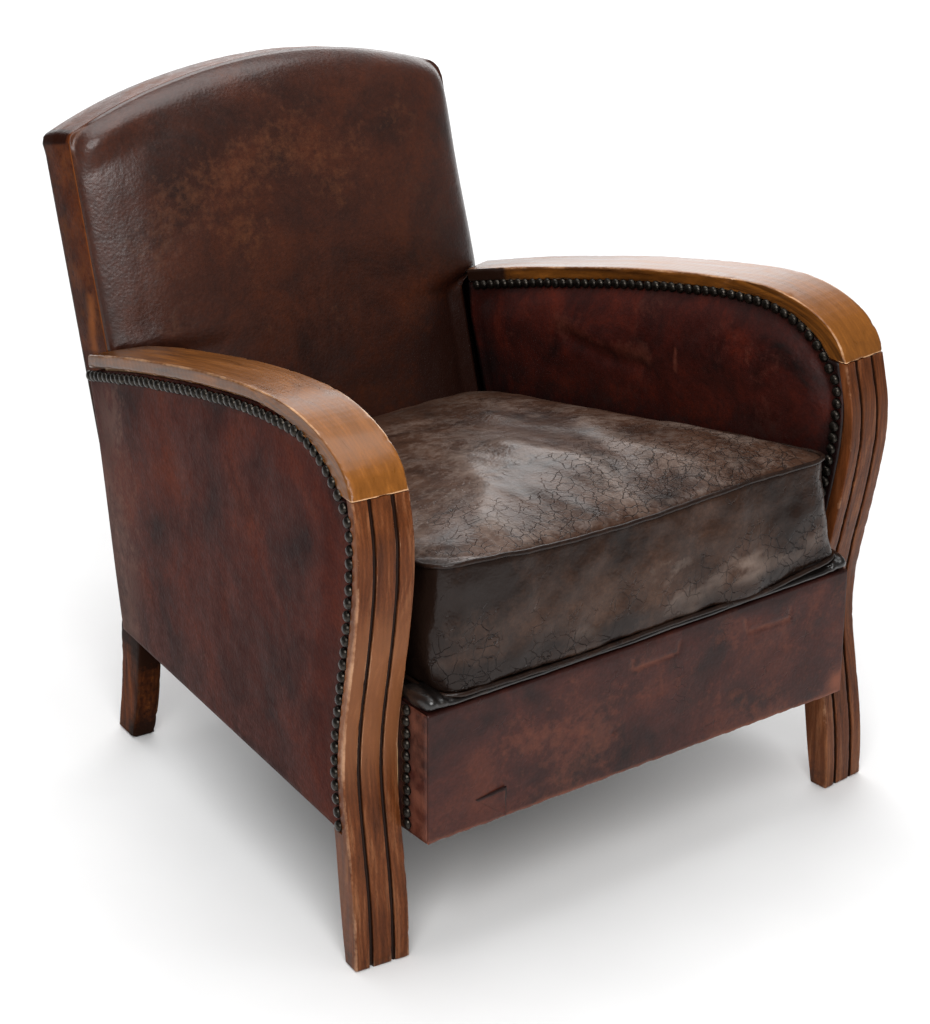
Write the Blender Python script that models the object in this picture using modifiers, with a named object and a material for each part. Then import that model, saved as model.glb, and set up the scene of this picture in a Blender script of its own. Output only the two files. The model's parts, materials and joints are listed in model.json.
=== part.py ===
"""Worn club chair: a leather armchair on a beech frame with bent wooden arm caps.

Units are metres, +Z is up and the front faces -Y. The origin is on the floor under the middle of
the bounding box. Each side of the chair is a flat frame of its own: along it runs "u", from the
front end of the arm cap to the rear, and "off" is the distance inwards from the cap's outer edge.
The seat, the back and the apron are modelled in frames of their own between the two sides. Heights
in all these frames count from a level a little above the floor, so the feet reach below zero there.
"""
import math

import bmesh
import bpy
from mathutils import Matrix, Vector
from mathutils.geometry import interpolate_bezier

NAME = "worn_club_chair"
GAP = 0.0003
HIDE = 0.0018
OUTER_HIDE = 0.0016

# Whole chair
WIDTH = 0.660
FRONT_Y = -0.3478
LIFT = 0.0035
SPLAY = math.radians(5.94)
UNDERSIDE = 0.1405
LEFT = 1
RIGHT = -1
SIDES = {"left": LEFT, "right": RIGHT}

# Arm cap: its crown and its underside, seen from the side as (u, z)
CAP_WIDTH = 0.0604
CAP_TOP = ((0.0, 0.498), (0.011, 0.517), (0.035, 0.5335), (0.075, 0.545), (0.130, 0.549),
           (0.205, 0.5415), (0.306, 0.5225), (0.400, 0.500), (0.500, 0.474), (0.612, 0.440))
CAP_UNDER = ((0.024, 0.4975), (0.046, 0.516), (0.080, 0.529), (0.122, 0.534), (0.165, 0.533),
             (0.209, 0.527), (0.299, 0.509), (0.393, 0.4865), (0.492, 0.4605), (0.612, 0.426))
CAP_REAR_OUTER_U = 0.596
CAP_REAR_INNER_U = 0.566
CAP_NOSE_U = 0.0245
CAP_CLEARANCE = 0.0008

# Front post with its foot
POST_OUTER = 0.0018
POST_INNER = 0.0586
POST_FRONT = ((0.0055, -LIFT), (0.012, 0.054), (0.016, 0.119), (0.021, 0.180), (0.022, 0.254),
              (0.017, 0.312), (0.007, 0.358), (-0.008, 0.415), (-0.012, 0.455), (-0.003, 0.4972))
POST_REAR = ((0.0295, -LIFT), (0.036, 0.036), (0.042, 0.084), (0.047, 0.130), (0.050, 0.142))
REBATE_SETBACK = 0.016
REBATE_DEPTH = 0.0022
REED_GROOVES = (0.0188, 0.0423)
GROOVE_WIDTH = 0.0035
GROOVE_DEPTH = 0.003
WOOD_ROUND = 0.0018

# Rear leg with its upright
LEG_OUTER = 0.0096
LEG_INNER = 0.0366
LEG_FRONT = ((0.5515, -LIFT), (0.5365, 0.036), (0.5275, 0.072), (0.519, 0.124))
LEG_REAR = ((0.5893, -LIFT), (0.583, 0.023), (0.5765, 0.050), (0.571, 0.085), (0.5685, 0.124),
            (0.566, 0.1395))
UPRIGHT_LOW = (0.517, 0.5475, 0.142)
UPRIGHT_HIGH = (0.563, 0.6005, 0.425)

# Leather of the sides
PANEL_REAR = ((0.605, 0.413), (0.595, 0.370), (0.582, 0.305), (0.566, 0.215), (0.551, 0.140))
PANEL_BOTTOM = 0.140
PANEL_OFF = 0.0021
INNER_BACK = 0.0567
ARM_BULGE = ((1.0, 0.0), (0.93, 0.0), (0.86, 0.0065), (0.74, 0.0135), (0.50, 0.019))
STUFFING_BULGE = ((1.0, 0.0), (0.90, 0.0), (0.84, 0.003), (0.72, 0.0105), (0.50, 0.016))
INNER_REAR = ((0.5665, 0.4370), (0.5630, 0.400), (0.5185, 0.2400))
FOLD_U = 0.6035
PANEL_TOP_Z = 0.4962
WADDING_LEVELS = (0.150, 0.400)
WADDING_REAR = 0.575
INNER_PANEL_DROP = 0.0048
STUFFING_SETBACK = 0.008
STUFFING_BACK = 0.0303
TOP_RAIL_DEPTH = 0.022
TOP_RAIL_SIDES = (0.0040, 0.0542)
RAIL_OUTER = LEG_OUTER
SEAT_RAIL_INNER = 0.0346
SEAT_RAIL_TOP = 0.205
TACKING_INNER = 0.0300
TACKING_RISE = 0.003
TACKING_DEPTH = 0.027

# Nails
NAIL_PITCH = 0.013
NAIL_RADIUS = 0.0058
NAIL_HEIGHT = 0.0040
NAIL_INSET = 0.0066
NAIL_SETBACK = 0.0205
NAIL_WAIST = 0.42
NAIL_BEND = ((0.0355, 0.5035), (0.0225, 0.4915))
NAIL_BEND_REAR = 0.052
NAIL_BEND_LOW = 0.478
OUTER_NAILS_LOW = 0.147
OUTER_NAILS_REAR_U = 0.596
INNER_NAILS_LOW = 0.300
INNER_NAILS_REAR_U = 0.552
APRON_NAILS = (0.145, 0.268)
APRON_NAILS_Y = 0.004

# Seat
DECK_FRONT_Z = 0.2835
DECK_SLOPE = 0.105
DECK_START = 0.0183
DECK_END = 0.500
DECK_OFF = 0.0400
DECK_POST_OFF = 0.0640
DECK_POST_REAR = 0.0506
REAR_RAIL_FRONT = 0.478
REAR_RAIL_REAR = 0.5095
REAR_RAIL_TOP = 0.190
REAR_RAIL_OFF = 0.0349
HESSIAN_DROP = 0.0365
HESSIAN = 0.0015
CUSHION_FRONT = -0.020
CUSHION_REAR_LOW = 0.4955
CUSHION_REAR_HIGH = 0.5165
CUSHION_SIDE_STEPS = 6
CUSHION_EDGE = 0.0115
CUSHION_EDGE_SCALE = 0.97
CUSHION_HALF = 0.2475
CUSHION_TOP_Z = 0.410
CUSHION_TOP_SLOPE = 0.172
CUSHION_CORNER = 0.028
CUSHION_CROWN = ((1.0, 0.0), (0.97, 0.007), (0.90, 0.015), (0.76, 0.022), (0.50, 0.026),
                 (0.25, 0.0275))
PIPING_RADIUS = 0.0035
PIPING_RISE = 0.0040
PIPING_DROP = 0.0030
WEB_Z = 0.1425
WEB_BAND = 0.052
WEB_COUNT = 4
WEB_THICKNESS = 0.002
SEAT_WEB_HALF = 0.238
SPRING_RADIUS = 0.034
SPRING_WIRE = 0.0018
SPRING_TURNS = 4
SPRING_FACETS = 7
SPRING_WAIST = 0.25
SPRING_COLUMNS = (-0.125, 0.0, 0.125)
SPRING_ROWS = (0.140, 0.265, 0.390)
DUST_COVER = 0.0012
DUST_COVER_OFF = 0.0110
DUST_COVER_FRONT = 0.053
DUST_COVER_LEG = 0.508
DUST_COVER_REAR = 0.568
DUST_COVER_REAR_HALF = 0.229

# Apron
APRON_HALF = 0.2678
APRON_FRONT = -0.030
APRON_TOP = 0.2745
APRON_BOTTOM = 0.1365
APRON_CHAMFER = 0.0014
APRON_END_Y = 0.018
RAIL_REAR_Y = 0.045
LIP_ROUND = 0.004

# Back
BACK_FOOT_Y = 0.5094
BACK_FOOT_Z = 0.140
BACK_RAKE = math.radians(15.4)
BACK_HALF = 0.244
BACK_THROAT = 0.2088
BACK_SHOULDER = 0.314
BACK_CORNER = 0.548
BACK_RISE = 0.048
BACK_DEPTH = 0.060
BACK_BOTTOM = 0.062
BACK_HEEL = 0.0165
BACK_BULGE = ((1.0, 0.0), (0.985, 0.011), (0.95, 0.021), (0.87, 0.029), (0.70, 0.034), (0.40, 0.037))
THROAT_LIFT = 0.024
FLAP_LOW = 0.0345
FLAP_HIGH = 0.0150
FLAP_STEP = 0.3035
STILE_FRONT = 0.0058
STILE_REAR = 0.046
STILE_INNER = 0.2020
STILE_LOW_OUTER = 0.2361
STILE_OUTER = 0.2306
STILE_FOOT = 0.0135
STILE_STEP = 0.293
BACK_TOP_RAIL_DEPTH = 0.050
BACK_LOW_RAIL = (0.085, 0.130)
BACK_LOW_RAIL_REAR = 0.030
BACK_WEB = 0.0016
BACK_WEB_HALF = 0.207
BACK_STUFFING_BULGE = ((1.0, -HIDE - GAP), (0.975, 0.004), (0.94, 0.0135), (0.86, 0.0245),
                       (0.70, 0.031), (0.40, 0.0345))
REAR_BULGE = ((1.0, 0.0), (0.97, 0.002), (0.85, 0.005), (0.5, 0.007))


# ---------------------------------------------------------------- shapes on paper

def smooth(points, steps=2):
    """A smooth line through hand-set points, as steps short runs between each two of them."""
    points = [Vector((a, b, 0.0)) for a, b in points]
    line = [points[0]]
    for i in range(len(points) - 1):
        before = points[max(i - 1, 0)]
        after = points[min(i + 2, len(points) - 1)]
        start_handle = points[i] + (points[i + 1] - before) / 6.0
        end_handle = points[i + 1] - (after - points[i]) / 6.0
        line += interpolate_bezier(points[i], start_handle, end_handle, points[i + 1], steps + 1)[1:]
    return [(p.x, p.y) for p in line]


def shift(line, along=0.0, up=0.0):
    """The line moved in its own plane."""
    return [(a + along, b + up) for a, b in line]


def offset(line, distance):
    """The line moved sideways, to the right of its direction for a positive distance."""
    moved = []
    for i, (a, b) in enumerate(line):
        before = line[max(i - 1, 0)]
        after = line[min(i + 1, len(line) - 1)]
        run = Vector((after[0] - before[0], after[1] - before[1])).normalized()
        moved.append((a + run.y * distance, b - run.x * distance))
    return moved


def value_at(line, position, axis=0):
    """The line's other coordinate where its coordinate on the axis has this position."""
    other = 1 - axis
    ordered = sorted(line, key=lambda p: p[axis])
    for low, high in zip(ordered, ordered[1:]):
        if low[axis] <= position <= high[axis]:
            share = (position - low[axis]) / max(high[axis] - low[axis], 1e-9)
            return low[other] + share * (high[other] - low[other])
    nearest = ordered[0] if position < ordered[0][axis] else ordered[-1]
    return nearest[other]


def between(line, low, high, axis=0):
    """The part of the line whose coordinate on the axis runs from low to high, in its own order."""
    return [p for p in line if low < p[axis] < high]


def evenly(line, pitch):
    """Points at an even pitch along the line."""
    lengths = [0.0]
    for a, b in zip(line, line[1:]):
        lengths.append(lengths[-1] + math.dist(a, b))
    count = max(2, round(lengths[-1] / pitch))
    spots = []
    run = 0
    for i in range(count + 1):
        target = lengths[-1] * i / count
        while run < len(lengths) - 2 and lengths[run + 1] < target:
            run += 1
        share = (target - lengths[run]) / (lengths[run + 1] - lengths[run])
        start, end = line[run], line[run + 1]
        spots.append(tuple(s + share * (e - s) for s, e in zip(start, end)))
    return spots


def round_corners(corners, radius, steps=3):
    """A closed outline whose corners are replaced by arcs of about this radius."""
    outline = []
    for i, corner in enumerate(corners):
        here = Vector(corner)
        to_last = (Vector(corners[i - 1]) - here).normalized() * radius
        to_next = (Vector(corners[(i + 1) % len(corners)]) - here).normalized() * radius
        for step in range(steps + 1):
            t = step / steps
            point = (1 - t) ** 2 * (here + to_last) + 2 * t * (1 - t) * here + t * t * (here + to_next)
            outline.append((point.x, point.y))
    return outline


def scaled(outline, factor):
    """The outline scaled about the middle of its box."""
    middle_a = (min(p[0] for p in outline) + max(p[0] for p in outline)) / 2
    middle_b = (min(p[1] for p in outline) + max(p[1] for p in outline)) / 2
    return [(middle_a + (a - middle_a) * factor, middle_b + (b - middle_b) * factor)
            for a, b in outline]


def mirrored(right):
    """A plan outline from its right half, which runs from one end of the middle line to the other."""
    return right + [(-x, y) for x, y in reversed(right)]


def half_gap(y, off):
    """Half the distance between the two sides, taken at a depth y and this far in from the caps."""
    return WIDTH / 2 - y * math.tan(SPLAY) - off / math.cos(SPLAY)


# ---------------------------------------------------------------- scene and materials

def clear_scene():
    for old in list(bpy.data.objects):
        bpy.data.objects.remove(old)


def make_material(name, colour, roughness, metallic=0.0):
    material = bpy.data.materials.new(name)
    material.use_nodes = True
    shader = material.node_tree.nodes["Principled BSDF"]
    shader.inputs["Base Color"].default_value = (*colour, 1.0)
    shader.inputs["Roughness"].default_value = roughness
    shader.inputs["Metallic"].default_value = metallic
    material.diffuse_color = (*colour, 1.0)
    return material


def make_materials():
    return {
        "cap_wood": make_material("cap_wood", (0.23, 0.105, 0.035), 0.32),
        "post_wood": make_material("post_wood", (0.17, 0.065, 0.025), 0.38),
        "frame_wood": make_material("frame_wood", (0.52, 0.36, 0.20), 0.75),
        "outer_leather": make_material("outer_leather", (0.060, 0.022, 0.016), 0.42),
        "inner_leather": make_material("inner_leather", (0.050, 0.012, 0.009), 0.38),
        "back_leather": make_material("back_leather", (0.075, 0.022, 0.010), 0.33),
        "cushion_leather": make_material("cushion_leather", (0.042, 0.027, 0.022), 0.36),
        "black_leather": make_material("black_leather", (0.012, 0.010, 0.009), 0.40),
        "nail_bronze": make_material("nail_bronze", (0.085, 0.075, 0.060), 0.45, 0.85),
        "jute": make_material("jute", (0.36, 0.25, 0.13), 0.95),
        "stuffing": make_material("stuffing", (0.25, 0.19, 0.12), 1.0),
        "spring_steel": make_material("spring_steel", (0.30, 0.29, 0.28), 0.40, 1.0),
        "black_cotton": make_material("black_cotton", (0.015, 0.015, 0.016), 0.95),
    }


class Chair:
    """The collections, frames and materials that every sub-part is made in."""

    def __init__(self):
        self.parts = self.new_collection(NAME)
        self.cutters = self.new_collection("cutters")
        self.cutters.hide_render = True
        self.materials = make_materials()
        self.floor = self.frame("floor_frame", (0.0, FRONT_Y, LIFT), (0.0, 0.0, 0.0))
        self.back = self.frame("back_frame", (0.0, FRONT_Y + BACK_FOOT_Y, BACK_FOOT_Z + LIFT),
                               (-BACK_RAKE, 0.0, 0.0))
        self.sides = {
            name: self.frame(f"{name}_side_frame", (-hand * WIDTH / 2, FRONT_Y, LIFT),
                             (0.0, 0.0, -hand * SPLAY))
            for name, hand in SIDES.items()
        }

    @staticmethod
    def new_collection(name):
        collection = bpy.data.collections.new(name)
        bpy.context.scene.collection.children.link(collection)
        return collection

    def frame(self, name, place, turn):
        empty = bpy.data.objects.new(name, None)
        empty.location = place
        empty.rotation_euler = turn
        empty.empty_display_size = 0.05
        self.parts.objects.link(empty)
        return empty

    def add(self, name, mesh, parent, material=None, place=Matrix.Identity(4), cutter=False):
        """Link a new object in its frame, as a part or as a cutter."""
        made = bpy.data.objects.new(name, mesh)
        (self.cutters if cutter else self.parts).objects.link(made)
        made.parent = parent
        made.matrix_local = place
        if cutter:
            made.hide_render = True
            made.display_type = "WIRE"
        else:
            made.data.materials.append(self.materials[material])
            made.data.shade_smooth()
            made.data.set_sharp_from_angle(angle=math.radians(35))
        return made


# ---------------------------------------------------------------- solids

FLOOR = Matrix.Identity(4)
SIDE = Matrix(((0, 0, 1, 0), (1, 0, 0, 0), (0, 1, 0, 0), (0, 0, 0, 1)))
FACE = Matrix(((1, 0, 0, 0), (0, 0, -1, 0), (0, 1, 0, 0), (0, 0, 0, 1)))


def placed(plane, middle):
    """The placing of a plate that lies in a plane, with its middle this far along the normal axis."""
    if plane is SIDE:
        return Matrix.Translation((middle, 0.0, 0.0)) @ plane
    if plane is FACE:
        return Matrix.Translation((0.0, middle, 0.0)) @ plane
    return Matrix.Translation((0.0, 0.0, middle)) @ plane


def plate_mesh(name, outline, thickness):
    """A flat outline as a filled 2D curve with an extrude, made a mesh with its caps welded."""
    curve = bpy.data.curves.new(name, "CURVE")
    curve.dimensions = "2D"
    curve.fill_mode = "BOTH"
    curve.extrude = thickness / 2
    spline = curve.splines.new("POLY")
    spline.points.add(len(outline) - 1)
    for point, (a, b) in zip(spline.points, outline):
        point.co = (a, b, 0.0, 1.0)
    spline.use_cyclic_u = True
    holder = bpy.data.objects.new(name, curve)
    bpy.context.scene.collection.objects.link(holder)
    view = bpy.context.evaluated_depsgraph_get()
    mesh = bpy.data.meshes.new_from_object(holder.evaluated_get(view))
    bpy.data.objects.remove(holder)
    work = bmesh.new()
    work.from_mesh(mesh)
    bmesh.ops.remove_doubles(work, verts=work.verts, dist=0.00001)
    bmesh.ops.dissolve_limit(work, angle_limit=math.radians(0.5), verts=work.verts, edges=work.edges)
    bmesh.ops.recalc_face_normals(work, faces=work.faces)
    work.to_mesh(mesh)
    work.free()
    return mesh


def plate(chair, name, outline, low, high, plane, parent, material=None, rounding=0.0, cutter=False):
    """A board or sheet: an outline in one plane of its frame, from low to high along the normal."""
    low, high = min(low, high), max(low, high)
    made = chair.add(name, plate_mesh(name, outline, high - low), parent, material,
                     placed(plane, (low + high) / 2), cutter)
    if rounding:
        bevel = made.modifiers.new("rounding", "BEVEL")
        bevel.width = rounding
        bevel.segments = 2
        bevel.limit_method = "ANGLE"
        bevel.angle_limit = math.radians(40)
    return made


def loft_mesh(name, rings):
    """A closed solid through rings of as many points each, with a flat cap at both ends."""
    work = bmesh.new()
    loops = [[work.verts.new(point) for point in ring] for ring in rings]
    for lower, upper in zip(loops, loops[1:]):
        for i in range(len(lower)):
            j = (i + 1) % len(lower)
            work.faces.new((lower[i], lower[j], upper[j], upper[i]))
    work.faces.new(list(reversed(loops[0])))
    work.faces.new(loops[-1])
    bmesh.ops.recalc_face_normals(work, faces=work.faces)
    mesh = bpy.data.meshes.new(name)
    work.to_mesh(mesh)
    work.free()
    return mesh


def pad(chair, name, outline, front, rear, plane, parent, material, lifts=(None, None)):
    """A padded or dished sheet: rings of the outline, each scaled and set at a height.

    front and rear list (scale, height) from the rim to the middle of each face. lifts gives, for the
    front and for the rear, a function of a rim point whose value the height there doesn't go below.
    """
    rings = []
    for levels, lift in ((list(reversed(rear)), lifts[1]), (list(front), lifts[0])):
        for scale, height in levels:
            heights = [max(height, lift(a, b)) if lift else height for a, b in outline]
            rings.append([(a, b, h) for (a, b), h in zip(scaled(outline, scale), heights)])
    return chair.add(name, loft_mesh(name, rings), parent, material, plane)


def raised(levels, base, sense=1.0):
    """Bulge levels as heights from a base, in one sense of the normal."""
    return [(scale, base + sense * height) for scale, height in levels]


def cut(target, *cutters):
    for cutter in cutters:
        hole = target.modifiers.new(cutter.name, "BOOLEAN")
        hole.operation = "DIFFERENCE"
        hole.solver = "EXACT"
        hole.object = cutter


def rod(chair, name, points, radius, parent, material, radii=None, closed=False, facets=1):
    """A round wire or welt along points of its frame; radii are shares of the radius."""
    curve = bpy.data.curves.new(name, "CURVE")
    curve.dimensions = "3D"
    curve.bevel_depth = radius
    curve.bevel_resolution = facets
    curve.use_fill_caps = not closed
    spline = curve.splines.new("POLY")
    spline.points.add(len(points) - 1)
    for i, (point, spot) in enumerate(zip(spline.points, points)):
        point.co = (*spot, 1.0)
        if radii:
            point.radius = radii[i]
    spline.use_cyclic_u = closed
    made = bpy.data.objects.new(name, curve)
    chair.parts.objects.link(made)
    made.parent = parent
    curve.materials.append(chair.materials[material])
    return made


def skin(chair, name, rails, thickness, parent, material):
    """A leather strip: the open surface between two rails of points, made solid by Solidify."""
    work = bmesh.new()
    first, second = ([work.verts.new(p) for p in rail] for rail in rails)
    for i in range(len(first) - 1):
        work.faces.new((first[i], first[i + 1], second[i + 1], second[i]))
    mesh = bpy.data.meshes.new(name)
    work.to_mesh(mesh)
    work.free()
    made = chair.add(name, mesh, parent, material)
    wall = made.modifiers.new("wall", "SOLIDIFY")
    wall.thickness = thickness
    wall.offset = -1.0
    wall.use_even_offset = True
    return made


# ---------------------------------------------------------------- lines shared by the sides

CAP_TOP_LINE = smooth(CAP_TOP)
CAP_UNDER_LINE = smooth(CAP_UNDER)
POST_LINE = smooth(POST_FRONT)


def cap_under(u, drop=0.0):
    return value_at(CAP_UNDER_LINE, u) - drop


def upright_edge(z, rear=False):
    """The front or the rear edge of the rear leg's upright at a height."""
    share = (z - UPRIGHT_LOW[2]) / (UPRIGHT_HIGH[2] - UPRIGHT_LOW[2])
    column = 1 if rear else 0
    return UPRIGHT_LOW[column] + share * (UPRIGHT_HIGH[column] - UPRIGHT_LOW[column])


def deck_z(y):
    return DECK_FRONT_Z - DECK_SLOPE * (y - CUSHION_FRONT)


def cushion_top(y):
    """The level of the cushion's upper edge."""
    return CUSHION_TOP_Z - CUSHION_TOP_SLOPE * y


def post_edge(low, high, setback):
    """The post's front line moved back by the setback, from a low to a high level, upwards."""
    inside = between(POST_LINE, low, high, axis=1)
    line = [(value_at(POST_LINE, low, axis=1), low), *inside, (value_at(POST_LINE, high, axis=1), high)]
    return shift(line, along=setback)


def under_edge(start, end, drop):
    """The line under the arm cap, this far below it, from the front to the rear."""
    inside = between(CAP_UNDER_LINE, start, end)
    line = [(start, cap_under(start)), *inside, (end, cap_under(end))]
    return shift(line, up=-drop)


def nail_line(low, rear_u):
    """The row of nails: under the arm cap from the rear, round the front, then down the post."""
    under = offset(under_edge(NAIL_BEND_REAR, rear_u, 0.0), NAIL_INSET)
    bend = list(NAIL_BEND)
    down = list(reversed(post_edge(low, NAIL_BEND_LOW, NAIL_SETBACK)))
    return smooth([*reversed(under), *bend, *down], steps=1)


# ---------------------------------------------------------------- sides

def arm_cap(chair, side, hand):
    outline = CAP_TOP_LINE + list(reversed(CAP_UNDER_LINE))
    cap = plate(chair, f"arm_cap_{side}", outline, 0.0, hand * CAP_WIDTH, SIDE,
                chair.sides[side], "cap_wood")
    slant = (CAP_REAR_OUTER_U - CAP_REAR_INNER_U) / CAP_WIDTH
    margin = 0.01
    inner = CAP_WIDTH + margin
    rear = CAP_TOP[-1][0] + margin
    waste = [(-margin * hand, CAP_REAR_OUTER_U + margin * slant),
             (inner * hand, CAP_REAR_OUTER_U - inner * slant),
             (inner * hand, rear), (-margin * hand, rear)]
    trim = plate(chair, f"arm_cap_trim_{side}", waste, CAP_UNDER[-1][1] - margin,
                 CAP_TOP[0][1] + margin, FLOOR, chair.sides[side], cutter=True)
    cut(cap, trim)
    bevel = cap.modifiers.new("rounding", "BEVEL")
    bevel.width = WOOD_ROUND
    bevel.segments = 2
    bevel.angle_limit = math.radians(40)


def front_post(chair, side, hand):
    parent = chair.sides[side]
    top = POST_FRONT[-1][1]
    rear = POST_REAR[-1][0]
    chamfer = rear - 0.004
    head = [(rear, cap_under(rear, GAP)), (chamfer, cap_under(chamfer, GAP)), (CAP_NOSE_U, top)]
    outline = POST_LINE + list(reversed(head)) + list(reversed(POST_REAR))
    post = plate(chair, f"front_post_{side}", outline, hand * POST_OUTER, hand * POST_INNER, SIDE,
                 parent, "post_wood", rounding=WOOD_ROUND)
    low = UNDERSIDE - 0.001
    margin = 0.02
    waste = post_edge(low, top, REBATE_SETBACK)
    waste += [(CAP_NOSE_U, top + 2 * margin), (rear + margin, top + 2 * margin), (rear + margin, low)]
    rebates = [
        plate(chair, f"post_{face}_rebate_{side}", waste, hand * start, hand * end, SIDE, parent,
              cutter=True)
        for face, start, end in (("outer", POST_OUTER - margin, POST_OUTER + REBATE_DEPTH),
                                 ("inner", POST_INNER + margin, POST_INNER - REBATE_DEPTH))
    ]
    line = [(POST_LINE[0][0], -margin), *POST_LINE, (POST_LINE[-1][0], top + margin)]
    band = shift(line, along=-margin) + list(reversed(shift(line, along=GROOVE_DEPTH)))
    grooves = [
        plate(chair, f"post_groove_{number}_{side}", band, hand * (middle - GROOVE_WIDTH / 2),
              hand * (middle + GROOVE_WIDTH / 2), SIDE, parent, cutter=True)
        for number, middle in enumerate(REED_GROOVES, 1)
    ]
    cut(post, *rebates, *grooves)


def upright_top(rear):
    """Where the upright's front or rear edge meets the underside of the arm cap."""
    z = UPRIGHT_HIGH[2]
    for _ in range(4):
        z = cap_under(upright_edge(z, rear), GAP)
    return upright_edge(z, rear), z


def rear_leg(chair, side, hand):
    outline = [*LEG_FRONT, (UPRIGHT_LOW[0], UPRIGHT_LOW[2]), upright_top(False), upright_top(True),
               (UPRIGHT_LOW[1], UPRIGHT_LOW[2] - 0.0025), *reversed(LEG_REAR)]
    plate(chair, f"rear_leg_{side}", outline, hand * LEG_OUTER, hand * LEG_INNER, SIDE,
          chair.sides[side], "post_wood", rounding=0.001)


def side_frame(chair, side, hand):
    """The hidden rails of one side: the seat rail, the tacking rail and the rail under the cap."""
    parent = chair.sides[side]
    front = POST_REAR[-1][0] + GAP
    low, high = UNDERSIDE, SEAT_RAIL_TOP
    outline = [(front, low), (upright_edge(low) - GAP, low), (upright_edge(high) - GAP, high),
               (front, high)]
    plate(chair, f"side_seat_rail_{side}", outline, hand * RAIL_OUTER, hand * SEAT_RAIL_INNER, SIDE,
          parent, "frame_wood")

    rear = UPRIGHT_LOW[0]
    levels = (TACKING_RISE, TACKING_RISE + TACKING_DEPTH)
    low, high = (deck_z(rear) + level for level in levels)
    front_low, front_high = (deck_z(front) + level for level in levels)
    outline = [(front, front_low), (upright_edge(low) - GAP, low), (upright_edge(high) - GAP, high),
               (front, front_high)]
    plate(chair, f"arm_tacking_rail_{side}", outline, hand * RAIL_OUTER, hand * TACKING_INNER, SIDE,
          parent, "frame_wood")

    rear = upright_edge(UPRIGHT_HIGH[2] - TOP_RAIL_DEPTH) - GAP
    upper = under_edge(front, rear, GAP)
    outline = upper + list(reversed(shift(upper, up=-TOP_RAIL_DEPTH)))
    outer, inner = TOP_RAIL_SIDES
    plate(chair, f"arm_top_rail_{side}", outline, hand * outer, hand * inner, SIDE, parent,
          "frame_wood")


def outer_side(chair, side, hand):
    """The outer leather, folded round the rear upright, and the wadding behind it."""
    parent = chair.sides[side]
    front = post_edge(PANEL_BOTTOM, PANEL_TOP_Z, REBATE_SETBACK + GAP)
    rear = [(FOLD_U, cap_under(FOLD_U, CAP_CLEARANCE)), *PANEL_REAR]
    upper = under_edge(CAP_NOSE_U + 0.0055, FOLD_U - 0.01, CAP_CLEARANCE)
    outline = [*front, (CAP_NOSE_U, PANEL_TOP_Z), *upper, *rear]
    work = bmesh.new()
    rim = [work.verts.new((hand * PANEL_OFF, u, z)) for u, z in outline]
    work.faces.new(rim if hand == RIGHT else list(reversed(rim)))
    folded = rim[-len(rear):]
    edges = [edge for edge in work.edges if all(corner in folded for corner in edge.verts)]
    turned = bmesh.ops.extrude_edge_only(work, edges=edges)["geom"]
    bmesh.ops.translate(work, vec=(hand * (LEG_INNER - PANEL_OFF - 0.001), 0.0, 0.0),
                        verts=[v for v in turned if isinstance(v, bmesh.types.BMVert)])
    bmesh.ops.recalc_face_normals(work, faces=work.faces)
    if next(iter(work.faces)).normal.x * hand > 0:
        bmesh.ops.reverse_faces(work, faces=work.faces)
    mesh = bpy.data.meshes.new("outer_panel")
    work.to_mesh(mesh)
    work.free()
    panel = chair.add(f"outer_panel_{side}", mesh, parent, "outer_leather")
    wall = panel.modifiers.new("wall", "SOLIDIFY")
    wall.thickness = OUTER_HIDE
    wall.offset = -1.0
    wall.use_even_offset = True

    front = POST_REAR[-1][0] + GAP
    low, high = WADDING_LEVELS
    rear = [(upright_edge(z, rear=True), z) for z in (high, low)]
    upper = under_edge(front, WADDING_REAR, TOP_RAIL_DEPTH + 2 * GAP)
    plate(chair, f"outer_wadding_{side}", [(front, low), *upper, *rear], hand * TOP_RAIL_SIDES[0],
          hand * (LEG_OUTER - GAP), SIDE, parent, "stuffing")


def inner_side(chair, side, hand):
    """The inner leather of the arm, bulging over its stuffing."""
    parent = chair.sides[side]
    front = post_edge(deck_z(CUSHION_FRONT) - INNER_PANEL_DROP, PANEL_TOP_Z, REBATE_SETBACK + GAP)
    upper = under_edge(CAP_NOSE_U + 0.0055, INNER_REAR[0][0], CAP_CLEARANCE)
    outline = [*front, (CAP_NOSE_U, PANEL_TOP_Z), *upper, *INNER_REAR]
    plane = placed(SIDE, 0.0)
    face = [(scale, hand * height) for scale, height in raised(ARM_BULGE, INNER_BACK + HIDE)]
    hollow = [(scale, hand * height) for scale, height in raised(ARM_BULGE, INNER_BACK)]
    pad(chair, f"inner_panel_{side}", outline, face, hollow, plane, parent, "inner_leather")

    start = POST_REAR[-1][0] + GAP
    rear = shift(INNER_REAR[1:], along=-STUFFING_SETBACK)
    upper = under_edge(start, rear[0][0] - HIDE, TOP_RAIL_DEPTH + 2 * GAP)
    outline = [(start, deck_z(start) + HIDE + GAP), *upper, *rear]
    face = [(scale, hand * height) for scale, height in raised(STUFFING_BULGE, INNER_BACK - GAP)]
    pad(chair, f"arm_stuffing_{side}", outline, face, [(1.0, hand * STUFFING_BACK)], plane, parent,
        "stuffing")


def nail_row(chair, name, line, middle, parent):
    """A touching row of nail heads along a line of (depth, height), as one beaded flattened rod."""
    spots = evenly(line, NAIL_PITCH / 2)
    radii = [1.0 if i % 2 else NAIL_WAIST for i in range(len(spots))]
    row = rod(chair, name, [(0.0, a, b) for a, b in spots], NAIL_RADIUS, parent, "nail_bronze", radii,
              facets=0)
    row.location = (middle, 0.0, 0.0)
    row.scale = (NAIL_HEIGHT / (2 * NAIL_RADIUS), 1.0, 1.0)


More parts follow.
